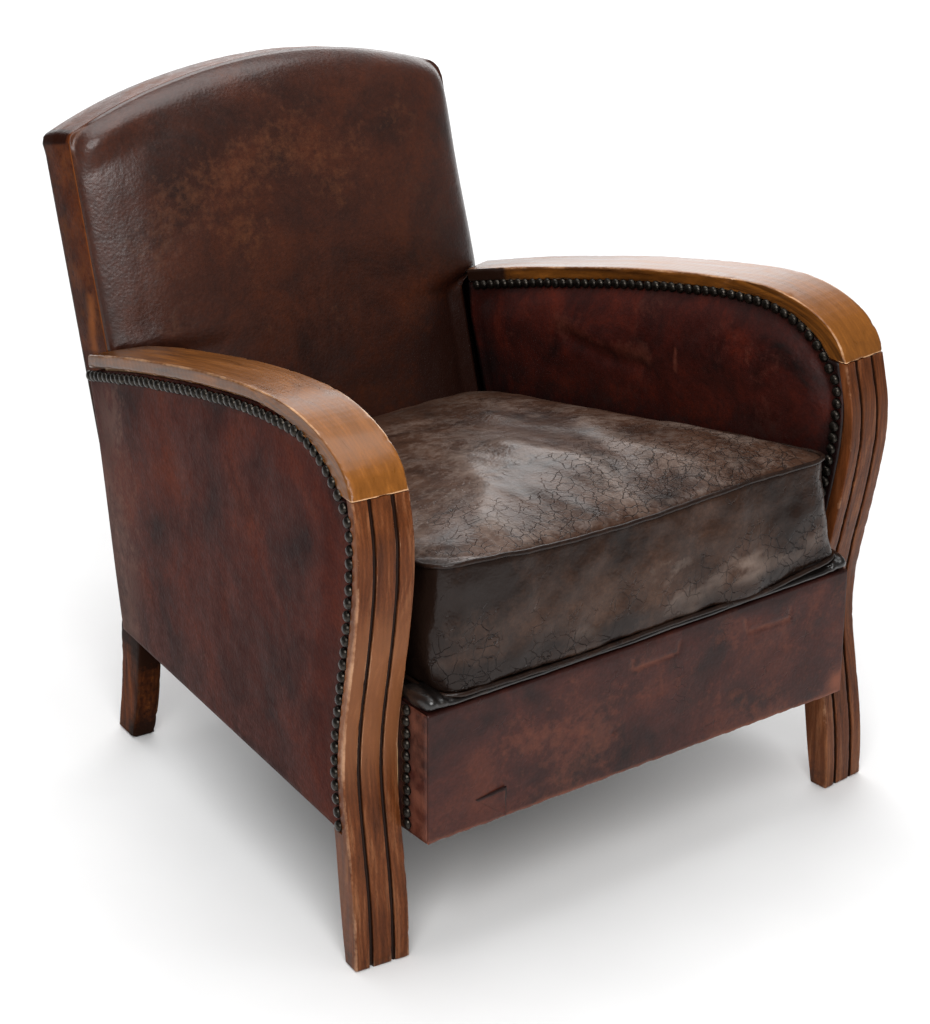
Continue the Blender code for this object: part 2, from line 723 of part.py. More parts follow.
def side_nails(chair, side, hand):
    """The rows of nail heads outside and inside the arm, and the one on the end of the apron."""
    half = NAIL_HEIGHT / 2
    nail_row(chair, f"outer_nails_{side}", nail_line(OUTER_NAILS_LOW, OUTER_NAILS_REAR_U),
             hand * (PANEL_OFF - GAP - half), chair.sides[side])
    nail_row(chair, f"inner_nails_{side}", nail_line(INNER_NAILS_LOW, INNER_NAILS_REAR_U),
             hand * (INNER_BACK + HIDE + GAP + half), chair.sides[side])
    nail_row(chair, f"apron_nails_{side}", [(APRON_NAILS_Y, z) for z in APRON_NAILS],
             -hand * (APRON_HALF + GAP + half), chair.floor)


# ---------------------------------------------------------------- seat and apron

def between_sides(start, end, off):
    """A plan outline that fills the space between the two sides."""
    return mirrored([(half_gap(start, off), start), (half_gap(end, off), end)])


def sloped_layer(chair, name, outline, low, high, material):
    """A flat layer that lies parallel to the deck, from low to high over it."""
    rings = [[(x, y, deck_z(y) + level) for x, y in outline] for level in (low, high)]
    return chair.add(name, loft_mesh(name, rings), chair.floor, material)


def web(chair, name, across, along, height, thickness, place, parent):
    """Jute bands in both directions, woven into one sheet: across and along list band edges."""
    work = bmesh.new()
    spots = [[work.verts.new((x, y, height)) for x in across] for y in along]
    for row in range(len(along) - 1):
        for column in range(len(across) - 1):
            if row % 2 == 0 and column % 2 == 0:
                continue
            work.faces.new((spots[row][column], spots[row][column + 1],
                            spots[row + 1][column + 1], spots[row + 1][column]))
    bmesh.ops.delete(work, geom=[v for v in work.verts if not v.link_faces], context="VERTS")
    mesh = bpy.data.meshes.new(name)
    work.to_mesh(mesh)
    work.free()
    made = chair.add(name, mesh, parent, "jute", place)
    wall = made.modifiers.new("wall", "SOLIDIFY")
    wall.thickness = thickness
    wall.offset = 0.0


def band_edges(low, high):
    """The edges of the evenly spaced web bands between two rails, with an opening at both ends."""
    pitch = (high - low) / (WEB_COUNT + 1)
    edges = [low]
    for i in range(WEB_COUNT):
        middle = low + pitch * (i + 1)
        edges += [middle - WEB_BAND / 2, middle + WEB_BAND / 2]
    return edges + [high]


def spring(chair, number, x, y):
    """A waisted coil spring with a flat turn at both ends, between the webbing and the hessian."""
    base = WEB_Z + WEB_THICKNESS + GAP + SPRING_WIRE
    top = deck_z(y + SPRING_RADIUS) - HESSIAN_DROP - 2 * GAP - SPRING_WIRE
    count = SPRING_FACETS * SPRING_TURNS
    coil = []
    for i in range(count + 1):
        share = i / count
        flat_end = 0.75 / SPRING_TURNS
        rise = min(max((share - flat_end) / (1.0 - 2 * flat_end), 0.0), 1.0)
        angle = 2 * math.pi * SPRING_TURNS * share
        radius = SPRING_RADIUS * (1.0 - SPRING_WAIST * math.sin(math.pi * share))
        coil.append((x + radius * math.cos(angle), y + radius * math.sin(angle),
                     base + (top - base) * (0.12 * share + 0.88 * rise)))
    rod(chair, f"seat_spring_{number}", coil, SPRING_WIRE, chair.floor, "spring_steel", facets=0)


def seat(chair):
    """Webbing, springs, hessian, stuffing and the black leather deck."""
    across = band_edges(-SEAT_WEB_HALF, SEAT_WEB_HALF)
    along = band_edges(RAIL_REAR_Y + 0.001, REAR_RAIL_FRONT - 0.0005)
    web(chair, "seat_webbing", across, along, WEB_Z + WEB_THICKNESS / 2, WEB_THICKNESS, FLOOR,
        chair.floor)
    spots = [(x, y) for y in SPRING_ROWS for x in SPRING_COLUMNS]
    for number, (x, y) in enumerate(spots, 1):
        spring(chair, number, x, y)

    inside = between_sides(RAIL_REAR_Y + 0.006, DECK_END - 0.006, DECK_OFF)
    top = HESSIAN - HESSIAN_DROP
    sloped_layer(chair, "spring_hessian", inside, -HESSIAN_DROP, top, "jute")
    sloped_layer(chair, "seat_stuffing", inside, top + GAP, -HIDE - GAP, "stuffing")
    deck = mirrored([(half_gap(DECK_START, DECK_POST_OFF), DECK_START),
                     (half_gap(DECK_POST_REAR, DECK_POST_OFF), DECK_POST_REAR - 0.0006),
                     (half_gap(DECK_POST_REAR, DECK_OFF), DECK_POST_REAR + 0.0006),
                     (half_gap(DECK_END, DECK_OFF), DECK_END)])
    sloped_layer(chair, "seat_deck", deck, -HIDE, 0.0, "black_leather")


def cushion_outline(rear):
    """The cushion's plan at one level: its sides follow the arms and its rear edge is at rear."""
    corners = [(CUSHION_HALF - math.tan(SPLAY) * y, y) for y in (CUSHION_FRONT, rear)]
    rounded = round_corners(mirrored(corners), CUSHION_CORNER)
    outline = []
    for start, end in zip(rounded, rounded[1:] + rounded[:1]):
        steps = CUSHION_SIDE_STEPS if math.dist(start, end) > 2 * CUSHION_CORNER else 1
        outline += [tuple(s + (e - s) * i / steps for s, e in zip(start, end)) for i in range(steps)]
    return outline


def cushion(chair):
    """The loose seat cushion: crowned, thinner to the rear, with a welt round both edges."""
    low, high = cushion_outline(CUSHION_REAR_LOW), cushion_outline(CUSHION_REAR_HIGH)
    rings = [[(x, y, deck_z(y) + GAP) for x, y in scaled(low, CUSHION_EDGE_SCALE)],
             [(x, y, deck_z(y) + GAP + CUSHION_EDGE) for x, y in low],
             [(x, y, cushion_top(y) - CUSHION_EDGE) for x, y in high]]
    for scale, height in CUSHION_CROWN:
        rings.append([(x, y, cushion_top(y) + height)
                      for x, y in scaled(high, scale * CUSHION_EDGE_SCALE)])
    chair.add("seat_cushion", loft_mesh("seat_cushion", rings), chair.floor, "cushion_leather")
    welts = {"cushion_lower_welt": [(x, y, deck_z(y) + PIPING_RISE) for x, y in low],
             "cushion_upper_welt": [(x, y, cushion_top(y) - PIPING_DROP) for x, y in high]}
    for name, line in welts.items():
        rod(chair, name, line, PIPING_RADIUS, chair.floor, "cushion_leather", closed=True)


def apron(chair):
    """The front rail, the leather that wraps it and the black leather lip on top."""
    end = APRON_HALF - HIDE - GAP
    front = APRON_FRONT + HIDE + GAP
    post = POST_INNER + GAP
    step = APRON_END_Y + 0.0015
    outline = mirrored([(end, front), (end, APRON_END_Y), (half_gap(step, post), step),
                        (half_gap(RAIL_REAR_Y, post), RAIL_REAR_Y)])
    plate(chair, "front_seat_rail", outline, APRON_BOTTOM, APRON_TOP - HIDE - GAP, FLOOR, chair.floor,
          "frame_wood")

    box = [(APRON_END_Y, APRON_BOTTOM), (APRON_FRONT, APRON_BOTTOM),
           (APRON_FRONT, APRON_TOP - APRON_CHAMFER), (APRON_FRONT + APRON_CHAMFER, APRON_TOP),
           (APRON_END_Y, APRON_TOP)]
    cover_mesh = plate_mesh("apron_cover", box, 2 * APRON_HALF)
    work = bmesh.new()
    work.from_mesh(cover_mesh)
    open_faces = [f for f in work.faces if f.normal.x > 0.9 or f.normal.y < -0.9]
    bmesh.ops.delete(work, geom=open_faces, context="FACES")
    work.to_mesh(cover_mesh)
    work.free()
    cover = chair.add("apron_cover", cover_mesh, chair.floor, "outer_leather", placed(SIDE, 0.0))
    wall = cover.modifiers.new("wall", "SOLIDIFY")
    wall.thickness = HIDE
    wall.offset = -1.0
    wall.use_even_offset = True

    front = APRON_FRONT + APRON_CHAMFER
    lip = round_corners([(front, APRON_TOP + GAP), (APRON_END_Y, APRON_TOP + GAP),
                         (APRON_END_Y, deck_z(APRON_END_Y)), (front, deck_z(front))], LIP_ROUND)
    plate(chair, "seat_lip", lip, -APRON_HALF, APRON_HALF, SIDE, chair.floor, "black_leather")


def seat_frame(chair):
    """The rear rail and the cotton under the seat."""
    outline = between_sides(REAR_RAIL_FRONT, REAR_RAIL_REAR, REAR_RAIL_OFF)
    plate(chair, "rear_seat_rail", outline, UNDERSIDE, REAR_RAIL_TOP, FLOOR, chair.floor, "frame_wood")
    outline = mirrored([(half_gap(DUST_COVER_FRONT, DUST_COVER_OFF), DUST_COVER_FRONT),
                        (half_gap(DUST_COVER_LEG, DUST_COVER_OFF), DUST_COVER_LEG),
                        (DUST_COVER_REAR_HALF, DUST_COVER_LEG),
                        (DUST_COVER_REAR_HALF, DUST_COVER_REAR)])
    plate(chair, "dust_cover", outline, UNDERSIDE - GAP - DUST_COVER, UNDERSIDE - GAP, FLOOR,
          chair.floor, "black_cotton")


# ---------------------------------------------------------------- back

def arch(half, corner, rise, steps=12):
    """The arched top of the back, as an arc from its right corner to its left corner."""
    radius = (half * half + rise * rise) / (2 * rise)
    reach = math.asin(half / radius)
    angles = [reach - 2 * reach * i / steps for i in range(steps + 1)]
    return [(radius * math.sin(a), corner + rise - radius + radius * math.cos(a)) for a in angles]


def back_outline(inset=0.0, throat_inset=0.0):
    """The padded face of the back: narrow between the arms, wide above them, arched on top."""
    half = BACK_HALF - inset
    throat = BACK_THROAT - throat_inset
    left = [(-throat, BACK_SHOULDER), (-throat, BACK_BOTTOM)]
    right = [(throat, BACK_BOTTOM), (throat, BACK_SHOULDER)]
    crown = arch(half, BACK_CORNER - inset, BACK_RISE)
    rise = BACK_CORNER - BACK_SHOULDER
    flank = [(half, BACK_SHOULDER + inset + rise * share) for share in (0.0, 0.33, 0.66)]
    return [*right, *flank, *crown, *[(-x, s) for x, s in reversed(flank)], *left]


def throat_lift(depth):
    """Padding stays full where the back meets the arms: a least height for the rim of one layer."""
    return lambda x, s: THROAT_LIFT - depth if abs(x) <= BACK_THROAT else -1.0


def back_frame(chair):
    """Stiles, rails and webbing inside the back."""
    top = BACK_CORNER - BACK_TOP_RAIL_DEPTH
    inner = BACK_HALF - HIDE - GAP
    for side, hand in SIDES.items():
        outline = [(STILE_INNER, STILE_FOOT), (STILE_LOW_OUTER, STILE_FOOT), (STILE_OUTER, STILE_STEP),
                   (STILE_OUTER, BACK_SHOULDER), (inner, BACK_SHOULDER), (inner, top),
                   (STILE_INNER, top)]
        outline = [(-hand * x, s) for x, s in outline]
        plate(chair, f"back_stile_{side}", outline, STILE_FRONT, STILE_REAR, FACE, chair.back,
              "frame_wood")
    outline = [(-inner, top + GAP), (inner, top + GAP),
               *arch(inner, BACK_CORNER - HIDE - GAP, BACK_RISE)]
    plate(chair, "back_top_rail", outline, STILE_FRONT, STILE_REAR, FACE, chair.back, "frame_wood")
    rail = mirrored([(STILE_INNER - GAP, level) for level in BACK_LOW_RAIL])
    plate(chair, "back_low_rail", rail, STILE_FRONT, BACK_LOW_RAIL_REAR, FACE, chair.back,
          "frame_wood")

    across = band_edges(-BACK_WEB_HALF, BACK_WEB_HALF)
    along = band_edges(BACK_LOW_RAIL[0] + 0.005, top + 0.030)
    web(chair, "back_webbing", across, along, 0.0, BACK_WEB,
        placed(FACE, STILE_FRONT - GAP - BACK_WEB / 2), chair.back)


def back_cover(chair):
    """Stuffing and leather of the back: the padded face, the boxing, the flaps and the rear panel."""
    hollow = raised(BACK_BULGE, -HIDE)
    pad(chair, "back_front_panel", back_outline(), BACK_BULGE, hollow, FACE, chair.back,
        "back_leather", (throat_lift(0.0), throat_lift(HIDE)))
    rear = STILE_FRONT - 2 * GAP - BACK_WEB
    pad(chair, "back_stuffing", back_outline(0.0030, 0.0020), BACK_STUFFING_BULGE, [(1.0, -rear)],
        FACE, chair.back, "stuffing", (throat_lift(0.0040), None))

    near = HIDE + GAP
    far = BACK_DEPTH - HIDE - GAP
    edge = [(BACK_HALF, BACK_SHOULDER + GAP), *arch(BACK_HALF, BACK_CORNER, BACK_RISE),
            (-BACK_HALF, BACK_SHOULDER + GAP)]
    rails = [[(x, far, s) for x, s in edge], [(x, near, s) for x, s in edge]]
    skin(chair, "back_boxing", rails, HIDE, chair.back, "back_leather")

    for side, hand in SIDES.items():
        flap = [(FLAP_LOW, BACK_HEEL), (far, BACK_HEEL), (far, BACK_SHOULDER - GAP),
                (near, BACK_SHOULDER - GAP), (near, FLAP_STEP), (FLAP_HIGH, FLAP_STEP)]
        plate(chair, f"back_flap_{side}", flap, -hand * (BACK_HALF - HIDE), -hand * BACK_HALF, SIDE,
              chair.back, "back_leather")

    outline = [(BACK_HALF, BACK_HEEL), *arch(BACK_HALF, BACK_CORNER, BACK_RISE),
               (-BACK_HALF, BACK_HEEL)]
    outer = raised(REAR_BULGE, -BACK_DEPTH, -1.0)
    inner = [(scale, height + HIDE) for scale, height in outer]
    pad(chair, "back_outer_panel", outline, inner, outer, FACE, chair.back, "outer_leather")


def main():
    clear_scene()
    chair = Chair()
    for side, hand in SIDES.items():
        arm_cap(chair, side, hand)
        front_post(chair, side, hand)
        rear_leg(chair, side, hand)
        side_frame(chair, side, hand)
        outer_side(chair, side, hand)
        inner_side(chair, side, hand)
        side_nails(chair, side, hand)
    apron(chair)
    seat_frame(chair)
    seat(chair)
    cushion(chair)
    back_frame(chair)
    back_cover(chair)


main()
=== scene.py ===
"""The looks of a worn club chair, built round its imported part.

Every piece is made here in metres in the part's own frame: +X to the right, +Y to the rear, +Z up.
Each side of the chair is a flat frame in which u runs to the rear, off runs inwards and z up. The
back leans in a frame in which s runs up the rake and t to the rear. In both, and in the seat's, y
and z count from the front of the arm caps and from a level just above the floor.
"""

import json
import logging
import math
from dataclasses import dataclass
from enum import Enum

import bmesh
import bpy
import numpy as np
from mathutils import Matrix, Vector, noise

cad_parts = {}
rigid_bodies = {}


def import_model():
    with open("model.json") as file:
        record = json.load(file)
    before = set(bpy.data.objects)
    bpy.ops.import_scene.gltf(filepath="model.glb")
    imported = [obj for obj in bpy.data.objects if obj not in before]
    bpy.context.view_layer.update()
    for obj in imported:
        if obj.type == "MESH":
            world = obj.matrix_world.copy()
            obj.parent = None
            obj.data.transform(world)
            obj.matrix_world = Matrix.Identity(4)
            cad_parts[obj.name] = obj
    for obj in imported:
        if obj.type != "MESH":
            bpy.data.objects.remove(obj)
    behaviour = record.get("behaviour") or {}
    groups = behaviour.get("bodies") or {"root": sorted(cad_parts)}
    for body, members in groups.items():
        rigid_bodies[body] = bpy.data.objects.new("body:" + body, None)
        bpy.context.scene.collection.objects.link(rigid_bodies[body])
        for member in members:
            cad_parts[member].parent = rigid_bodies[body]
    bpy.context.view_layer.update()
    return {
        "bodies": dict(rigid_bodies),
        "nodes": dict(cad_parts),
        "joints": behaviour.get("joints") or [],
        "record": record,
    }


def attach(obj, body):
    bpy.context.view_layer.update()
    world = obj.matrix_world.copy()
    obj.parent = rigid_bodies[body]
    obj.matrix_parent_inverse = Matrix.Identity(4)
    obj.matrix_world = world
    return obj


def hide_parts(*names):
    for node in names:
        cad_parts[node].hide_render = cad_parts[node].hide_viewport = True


LOG = logging.getLogger("club_chair")
Array = np.ndarray
Piece = bpy.types.Object
Material = bpy.types.Material
Socket = bpy.types.NodeSocket

WIDTH = 0.660
FRONT_Y = -0.3478
LIFT = 0.0035
SPLAY = math.radians(5.94)
SHARP = math.radians(42.0)
BACK_FOOT = (0.5094, 0.140)
BACK_RAKE = math.radians(15.4)
CAP_TOP = ((0.0, 0.498), (0.011, 0.517), (0.035, 0.5335), (0.075, 0.545), (0.130, 0.549),
           (0.205, 0.5415), (0.306, 0.5225), (0.400, 0.500), (0.500, 0.474), (0.612, 0.440))
CAP_UNDER = ((0.024, 0.4975), (0.046, 0.516), (0.080, 0.529), (0.122, 0.534), (0.165, 0.533),
             (0.209, 0.527), (0.299, 0.509), (0.393, 0.4865), (0.492, 0.4605), (0.612, 0.426))
CAP_NOSE = (0.0245, 0.4962)
POST_FRONT = ((0.0061, -LIFT), (0.0060, 0.030), (0.0079, 0.065), (0.0125, 0.100), (0.0182, 0.135),
              (0.0234, 0.170), (0.0260, 0.205), (0.0233, 0.240), (0.0171, 0.275), (0.0092, 0.310),
              (0.0017, 0.345), (-0.0048, 0.380), (-0.0095, 0.415), (-0.0097, 0.455),
              (-0.0012, 0.4972))
POST_TOP = 0.4972
LEATHER_TOP = 0.4962
UNDERSIDE = 0.1405
SETBACK = 0.0112
DECK_FRONT_Z = 0.2835
DECK_SLOPE = 0.105
CUSHION_FRONT = -0.020
FLOOR_REACH = 6.0
CAMERA_ROLL = 0.0021966528772255365


class Side(Enum):
    """The chair's two sides, with the sense in which each is mirrored."""

    LEFT = 1
    RIGHT = -1

    @property
    def word(self) -> str:
        """The side's name as the part's nodes end with it."""
        return self.name.lower()

    def pick(self, left: float, right: float) -> float:
        """The one of two values that belongs to this side."""
        return left if self is Side.LEFT else right


# ---- frames

def join(*parts: Array | float) -> Array:
    """Points, or rows of values, from their parts given one by one."""
    return np.stack(np.broadcast_arrays(*parts), -1)


def side_point(side: Side, u: Array, off: Array, z: Array) -> Array:
    """Points of one side's frame as positions in the part's frame.

    Args:
        side: the side they belong to.
        u: how far to the rear they lie.
        off: how far inwards from the cap's outer edge.
        z: their height.

    Returns:
        An array of the same shape with one more axis of three.
    """
    x = -WIDTH / 2 + math.sin(SPLAY) * u + math.cos(SPLAY) * off
    y = FRONT_Y + math.cos(SPLAY) * u - math.sin(SPLAY) * off
    return join(side.value * x, y, z + LIFT)


def back_point(x: Array, s: Array, t: Array) -> Array:
    """Points of the leaning back's frame as positions in the part's frame.

    Args:
        x: across the chair.
        s: up along the back.
        t: out of the back.

    Returns:
        Positions in the part's frame.
    """
    lean, rise = math.sin(BACK_RAKE), math.cos(BACK_RAKE)
    return join(x, FRONT_Y + BACK_FOOT[0] + lean * s + rise * t,
                LIFT + BACK_FOOT[1] + rise * s - lean * t)


def seat_point(x: Array, y: Array, z: Array) -> Array:
    """Points of the seat's frame as positions in the part's frame."""
    return join(x, y + FRONT_Y, z + LIFT)


# ---- lines and fields

def smooth(points: tuple, steps: int = 10) -> Array:
    """A smooth line through given points.

    Args:
        points: the points, each of two or three numbers.
        steps: how many short runs lie between each two of them.

    Returns:
        The line's points, one row each.
    """
    p = np.asarray(points, float)
    slope = (np.vstack([p[1:], p[-1:]]) - np.vstack([p[:1], p[:-1]])) / 2
    t = (np.arange(steps) / steps)[None, :, None]
    a, b, m, n = p[:-1, None], p[1:, None], slope[:-1, None], slope[1:, None]
    runs = ((2 * t ** 3 - 3 * t ** 2 + 1) * a + (t ** 3 - 2 * t ** 2 + t) * m
            + (3 * t ** 2 - 2 * t ** 3) * b + (t ** 3 - t ** 2) * n)
    return np.vstack([runs.reshape(-1, p.shape[1]), p[-1:]])


def spread(line: Array, shares: Array) -> Array:
    """Points of a line at shares of its length, from 0 to 1.

    Args:
        line: the corners of the line.
        shares: shares of its length, 0 to 1.

    Returns:
        One point for each share.
    """
    line = np.asarray(line, float)
    steps = np.linalg.norm(np.diff(line, axis=0), axis=1)
    reach = np.concatenate([[0.0], np.cumsum(steps)]) / steps.sum()
    return np.stack([np.interp(shares, reach, line[:, k]) for k in range(line.shape[1])], axis=1)


def coons(low: Array, high: Array, left: Array, right: Array) -> Array:
    """A surface patch stretched between four border lines.

    Args:
        low: the border of the first row, from left to right.
        high: the border of the last row, from left to right.
        left: the border of the first column, from low to high.
        right: the border of the last column, from low to high.

    Returns:
        The patch's points by row and column.
    """
    c = np.linspace(0, 1, len(low))[None, :, None]
    v = np.linspace(0, 1, len(left))[:, None, None]
    corners = ((1 - v) * ((1 - c) * low[0] + c * low[-1]) + v * ((1 - c) * high[0] + c * high[-1]))
    rows, columns = (1 - v) * low + v * high, (1 - c) * left[:, None] + c * right[:, None]
    return rows + columns - corners


def rumple(points: Array, size: float, seed: float, octaves: int = 2) -> Array:
    """Soft unevenness of about -1 to 1 at each point, with lumps of a size in metres.

    Args:
        points: where to look.
        size: the width of a wave, in metres.
        seed: which noise.
        octaves: how many layers.

    Returns:
        One value for each point.
    """
    flat = np.asarray(points, float).reshape(-1, 3) / size + seed * 7.31
    values = [noise.fractal(p, 1.0, 2.0, octaves) for p in flat.tolist()]
    return np.array(values).reshape(np.asarray(points).shape[:-1])


def spot(points: Array, centre: tuple, radius: float) -> Array:
    """A soft round mask of 1 at the centre that has nearly gone at twice the radius."""
    away = np.linalg.norm(np.asarray(points) - np.asarray(centre), axis=-1)
    return np.exp(-(away / radius) ** 2)


def tilt_up(x: Array) -> Array:
    """How much higher the front edge of the seat lies towards the right."""
    return 0.0035 * ease(-0.10, 0.27, x)


def stroke(points: Array, line: tuple, width: float) -> Array:
    """A soft mask of 1 along a line of points, in as many dimensions as the points have.

    Args:
        points: where to look.
        line: the corners of the stroke.
        width: its half width.

    Returns:
        1 on the line, falling to 0.
    """
    points = np.asarray(points, float)
    nearest = np.full(points.shape[:-1], 1e9)
    for a, b in zip(np.asarray(line[:-1], float), np.asarray(line[1:], float)):
        share = np.clip(((points - a) @ (b - a)) / max((b - a) @ (b - a), 1e-12), 0, 1)
        away = np.linalg.norm(points - a - share[..., None] * (b - a), axis=-1)
        nearest = np.minimum(nearest, away)
    return np.exp(-(nearest / width) ** 2)


def ease(low: float, high: float, value: Array) -> Array:
    """0 below low, 1 above high and a smooth step between them."""
    t = np.clip((np.asarray(value, float) - low) / (high - low), 0, 1)
    return t * t * (3 - 2 * t)


def fade(low: float, high: float, value: Array) -> Array:
    """1 below low, 0 above high and a smooth step between them."""
    return 1 - ease(low, high, value)


def dome(levels: tuple, a: Array, b: Array, power: float = 6.0) -> Array:
    """A pillow's height over a patch, from a table of (share of the way out, height).

    Args:
        levels: the table, from the rim at 1.0 to the middle.
        a: -1 to 1 across the patch.
        b: -1 to 1 up the patch.
        power: how square the level lines are.

    Returns:
        The height at each point.
    """
    out = (np.abs(a) ** power + np.abs(b) ** power) ** (1 / power)
    line = smooth([*levels, (0.0, levels[-1][1])], 6)[::-1]
    return np.interp(out, line[:, 0], line[:, 1])


def cap_under(u: Array) -> Array:
    """The height of the arm cap's underside."""
    line = smooth(CAP_UNDER)
    return np.interp(u, line[:, 0], line[:, 1])


def post_front(z: Array) -> Array:
    """How far back the front post's face lies at a height."""
    line = smooth(POST_FRONT)
    return np.interp(z, line[:, 1], line[:, 0])


def lean(side: Side, z: Array) -> Array:
    """How far a front post's outer face stands out of its side: the right one leans outwards."""
    foot = 1 - np.asarray(z) / POST_TOP
    return side.pick(0.0, 1.0) * (-0.0022 + 0.0130 * foot + 0.0035 * fade(0.40, 0.48, z))


def deck_z(y: Array) -> Array:
    """The level of the seat deck."""
    return DECK_FRONT_Z - DECK_SLOPE * (np.asarray(y) - CUSHION_FRONT)


# ---- meshes

class Shell:
    """The points, faces and point fields of one piece while it is being made."""

    def __init__(self) -> None:
        """Start with nothing."""
        self.points: list[Array] = []
        self.faces: list[list[int]] = []
        self.fields: list[tuple[int, int, dict[str, Array]]] = []
        self.count = 0

    def grid(self, points: Array, wrap: bool = False, **fields: Array) -> Array:
        """Add a sheet of quads.

        Args:
            points: positions by row and column.
            wrap: whether the last column joins the first.
            **fields: values for the finish, one for each point or one for all.

        Returns:
            The index of each point.
        """
        rows, cols = points.shape[:2]
        index = self.count + np.arange(rows * cols).reshape(rows, cols)
        near = np.hstack([index, index[:, :1]]) if wrap else index
        quads = join(near[:-1, :-1], near[:-1, 1:], near[1:, 1:], near[1:, :-1])
        self.faces += quads.reshape(-1, 4).tolist()
        self.points.append(points.reshape(-1, 3))
        whole = {key: value if np.ndim(value) else np.full((rows, cols), float(value))
                 for key, value in fields.items()}
        self.fields.append((self.count, rows * cols, whole))
        self.count += rows * cols
        return index

    def fill(self, loop: Array) -> None:
        """Close a loop of points with one face."""
        self.faces.append([int(i) for i in loop])

    def object(self, name: str, merge: float = 0.00002) -> Piece:
        """Make the piece, with its doubles merged and its faces turned outwards.

        Args:
            name: the piece's name.
            merge: points nearer than this become one.

        Returns:
            The piece, linked to the scene.
        """
        mesh = bpy.data.meshes.new(name)
        mesh.from_pydata(np.vstack(self.points).tolist(), [], self.faces)
        names = sorted({key for _, _, fields in self.fields for key in fields})
        for key in names:
            wide = any(np.ndim(f[key]) == 3 and np.shape(f[key])[-1] == 3
                       for _, _, f in self.fields if key in f)
            values = np.zeros((self.count, 3 if wide else 1))
            for start, count, fields in self.fields:
                if key in fields:
                    values[start:start + count] = np.reshape(fields[key], (count, -1))
            layer = mesh.attributes.new(key, "FLOAT_VECTOR" if wide else "FLOAT", "POINT")
            layer.data.foreach_set("vector" if wide else "value", values.ravel().astype(np.float32))
        work = bmesh.new()
        work.from_mesh(mesh)
        bmesh.ops.remove_doubles(work, verts=work.verts, dist=merge)
        bmesh.ops.recalc_face_normals(work, faces=work.faces)
        work.to_mesh(mesh)
        work.free()
        mesh.shade_smooth()
        piece = bpy.data.objects.new(name, mesh)
        bpy.context.scene.collection.objects.link(piece)
        return piece


def settle(piece: Piece) -> Piece:
    """Turn what the modifiers make of a piece into its plain mesh.

    Args:
        piece: the mesh object.

    Returns:
        The same object, with its modifiers applied.
    """
    view = bpy.context.evaluated_depsgraph_get()
    mesh = bpy.data.meshes.new_from_object(piece.evaluated_get(view), depsgraph=view)
    piece.modifiers.clear()
    piece.data = mesh
    return piece


def hide(name: str, places: Array, towards: tuple, wall: float, wear: Array | float,
         grime: Array | float, crack: float = 0.0) -> Piece:
    """Make a leather from the sheet of its outer face.

    Args:
        name: the piece's name.
        places: the outer face by row and column.
        towards: a point that the face looks at.
        wall: how thick the leather is.
        wear: how rubbed it is, and where sheen is painted on.
        grime: how dirty it is, and where shade is painted on.
        crack: how cracked its glaze is.

    Returns:
        The piece, with its thickness.
    """
    shell = Shell()
    shell.grid(places, wear=wear, grime=grime, crack=crack)
    return thicken(face_towards(shell.object(name), towards), wall)


def thicken(piece: Piece, wall: float) -> Piece:
    """Give a sheet a thickness inwards of the face that shows.

    Args:
        piece: the sheet.
        wall: its thickness.

    Returns:
        The same object, now a closed body.
    """
    solid = piece.modifiers.new("wall", "SOLIDIFY")
    solid.thickness = wall
    solid.offset = -1.0
    return settle(piece)


def face_towards(piece: Piece, point: tuple) -> Piece:
    """Turn an open sheet so that its faces look towards a point.

    Args:
        piece: the open sheet.
        point: where it is seen from.

    Returns:
        The same object.
    """
    mesh = piece.data
    middle = mesh.polygons[len(mesh.polygons) // 2]
    if (Vector(point) - middle.center).dot(middle.normal) < 0:
        mesh.flip_normals()
    return piece


def dress(piece: Piece, finish: Material, slot: str, *nodes: str,
          fill: float | None = None) -> Piece:
    """Give a finished piece its material and its place in the part.

    Args:
        piece: the piece.
        finish: its material.
        slot: the part's material slot that it stands for; not used.
        *nodes: the part's nodes that it replaces.
        fill: how full its padding is, where it has any; not used.

    Returns:
        The piece.
    """
    piece.data.materials.clear()
    piece.data.materials.append(finish)
    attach(piece, "root")
    if nodes:
        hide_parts(*nodes)
    LOG.info("%s: %d faces in %s", piece.name, len(piece.data.polygons), finish.name)
    return piece


# ---- finishes

def linear(code: str) -> tuple[float, float, float, float]:
    """An sRGB hex colour as linear red, green, blue and alpha."""
    parts = [int(code[i:i + 2], 16) / 255 for i in (1, 3, 5)]
    return (*[c / 12.92 if c <= 0.04045 else ((c + 0.055) / 1.055) ** 2.4 for c in parts], 1.0)


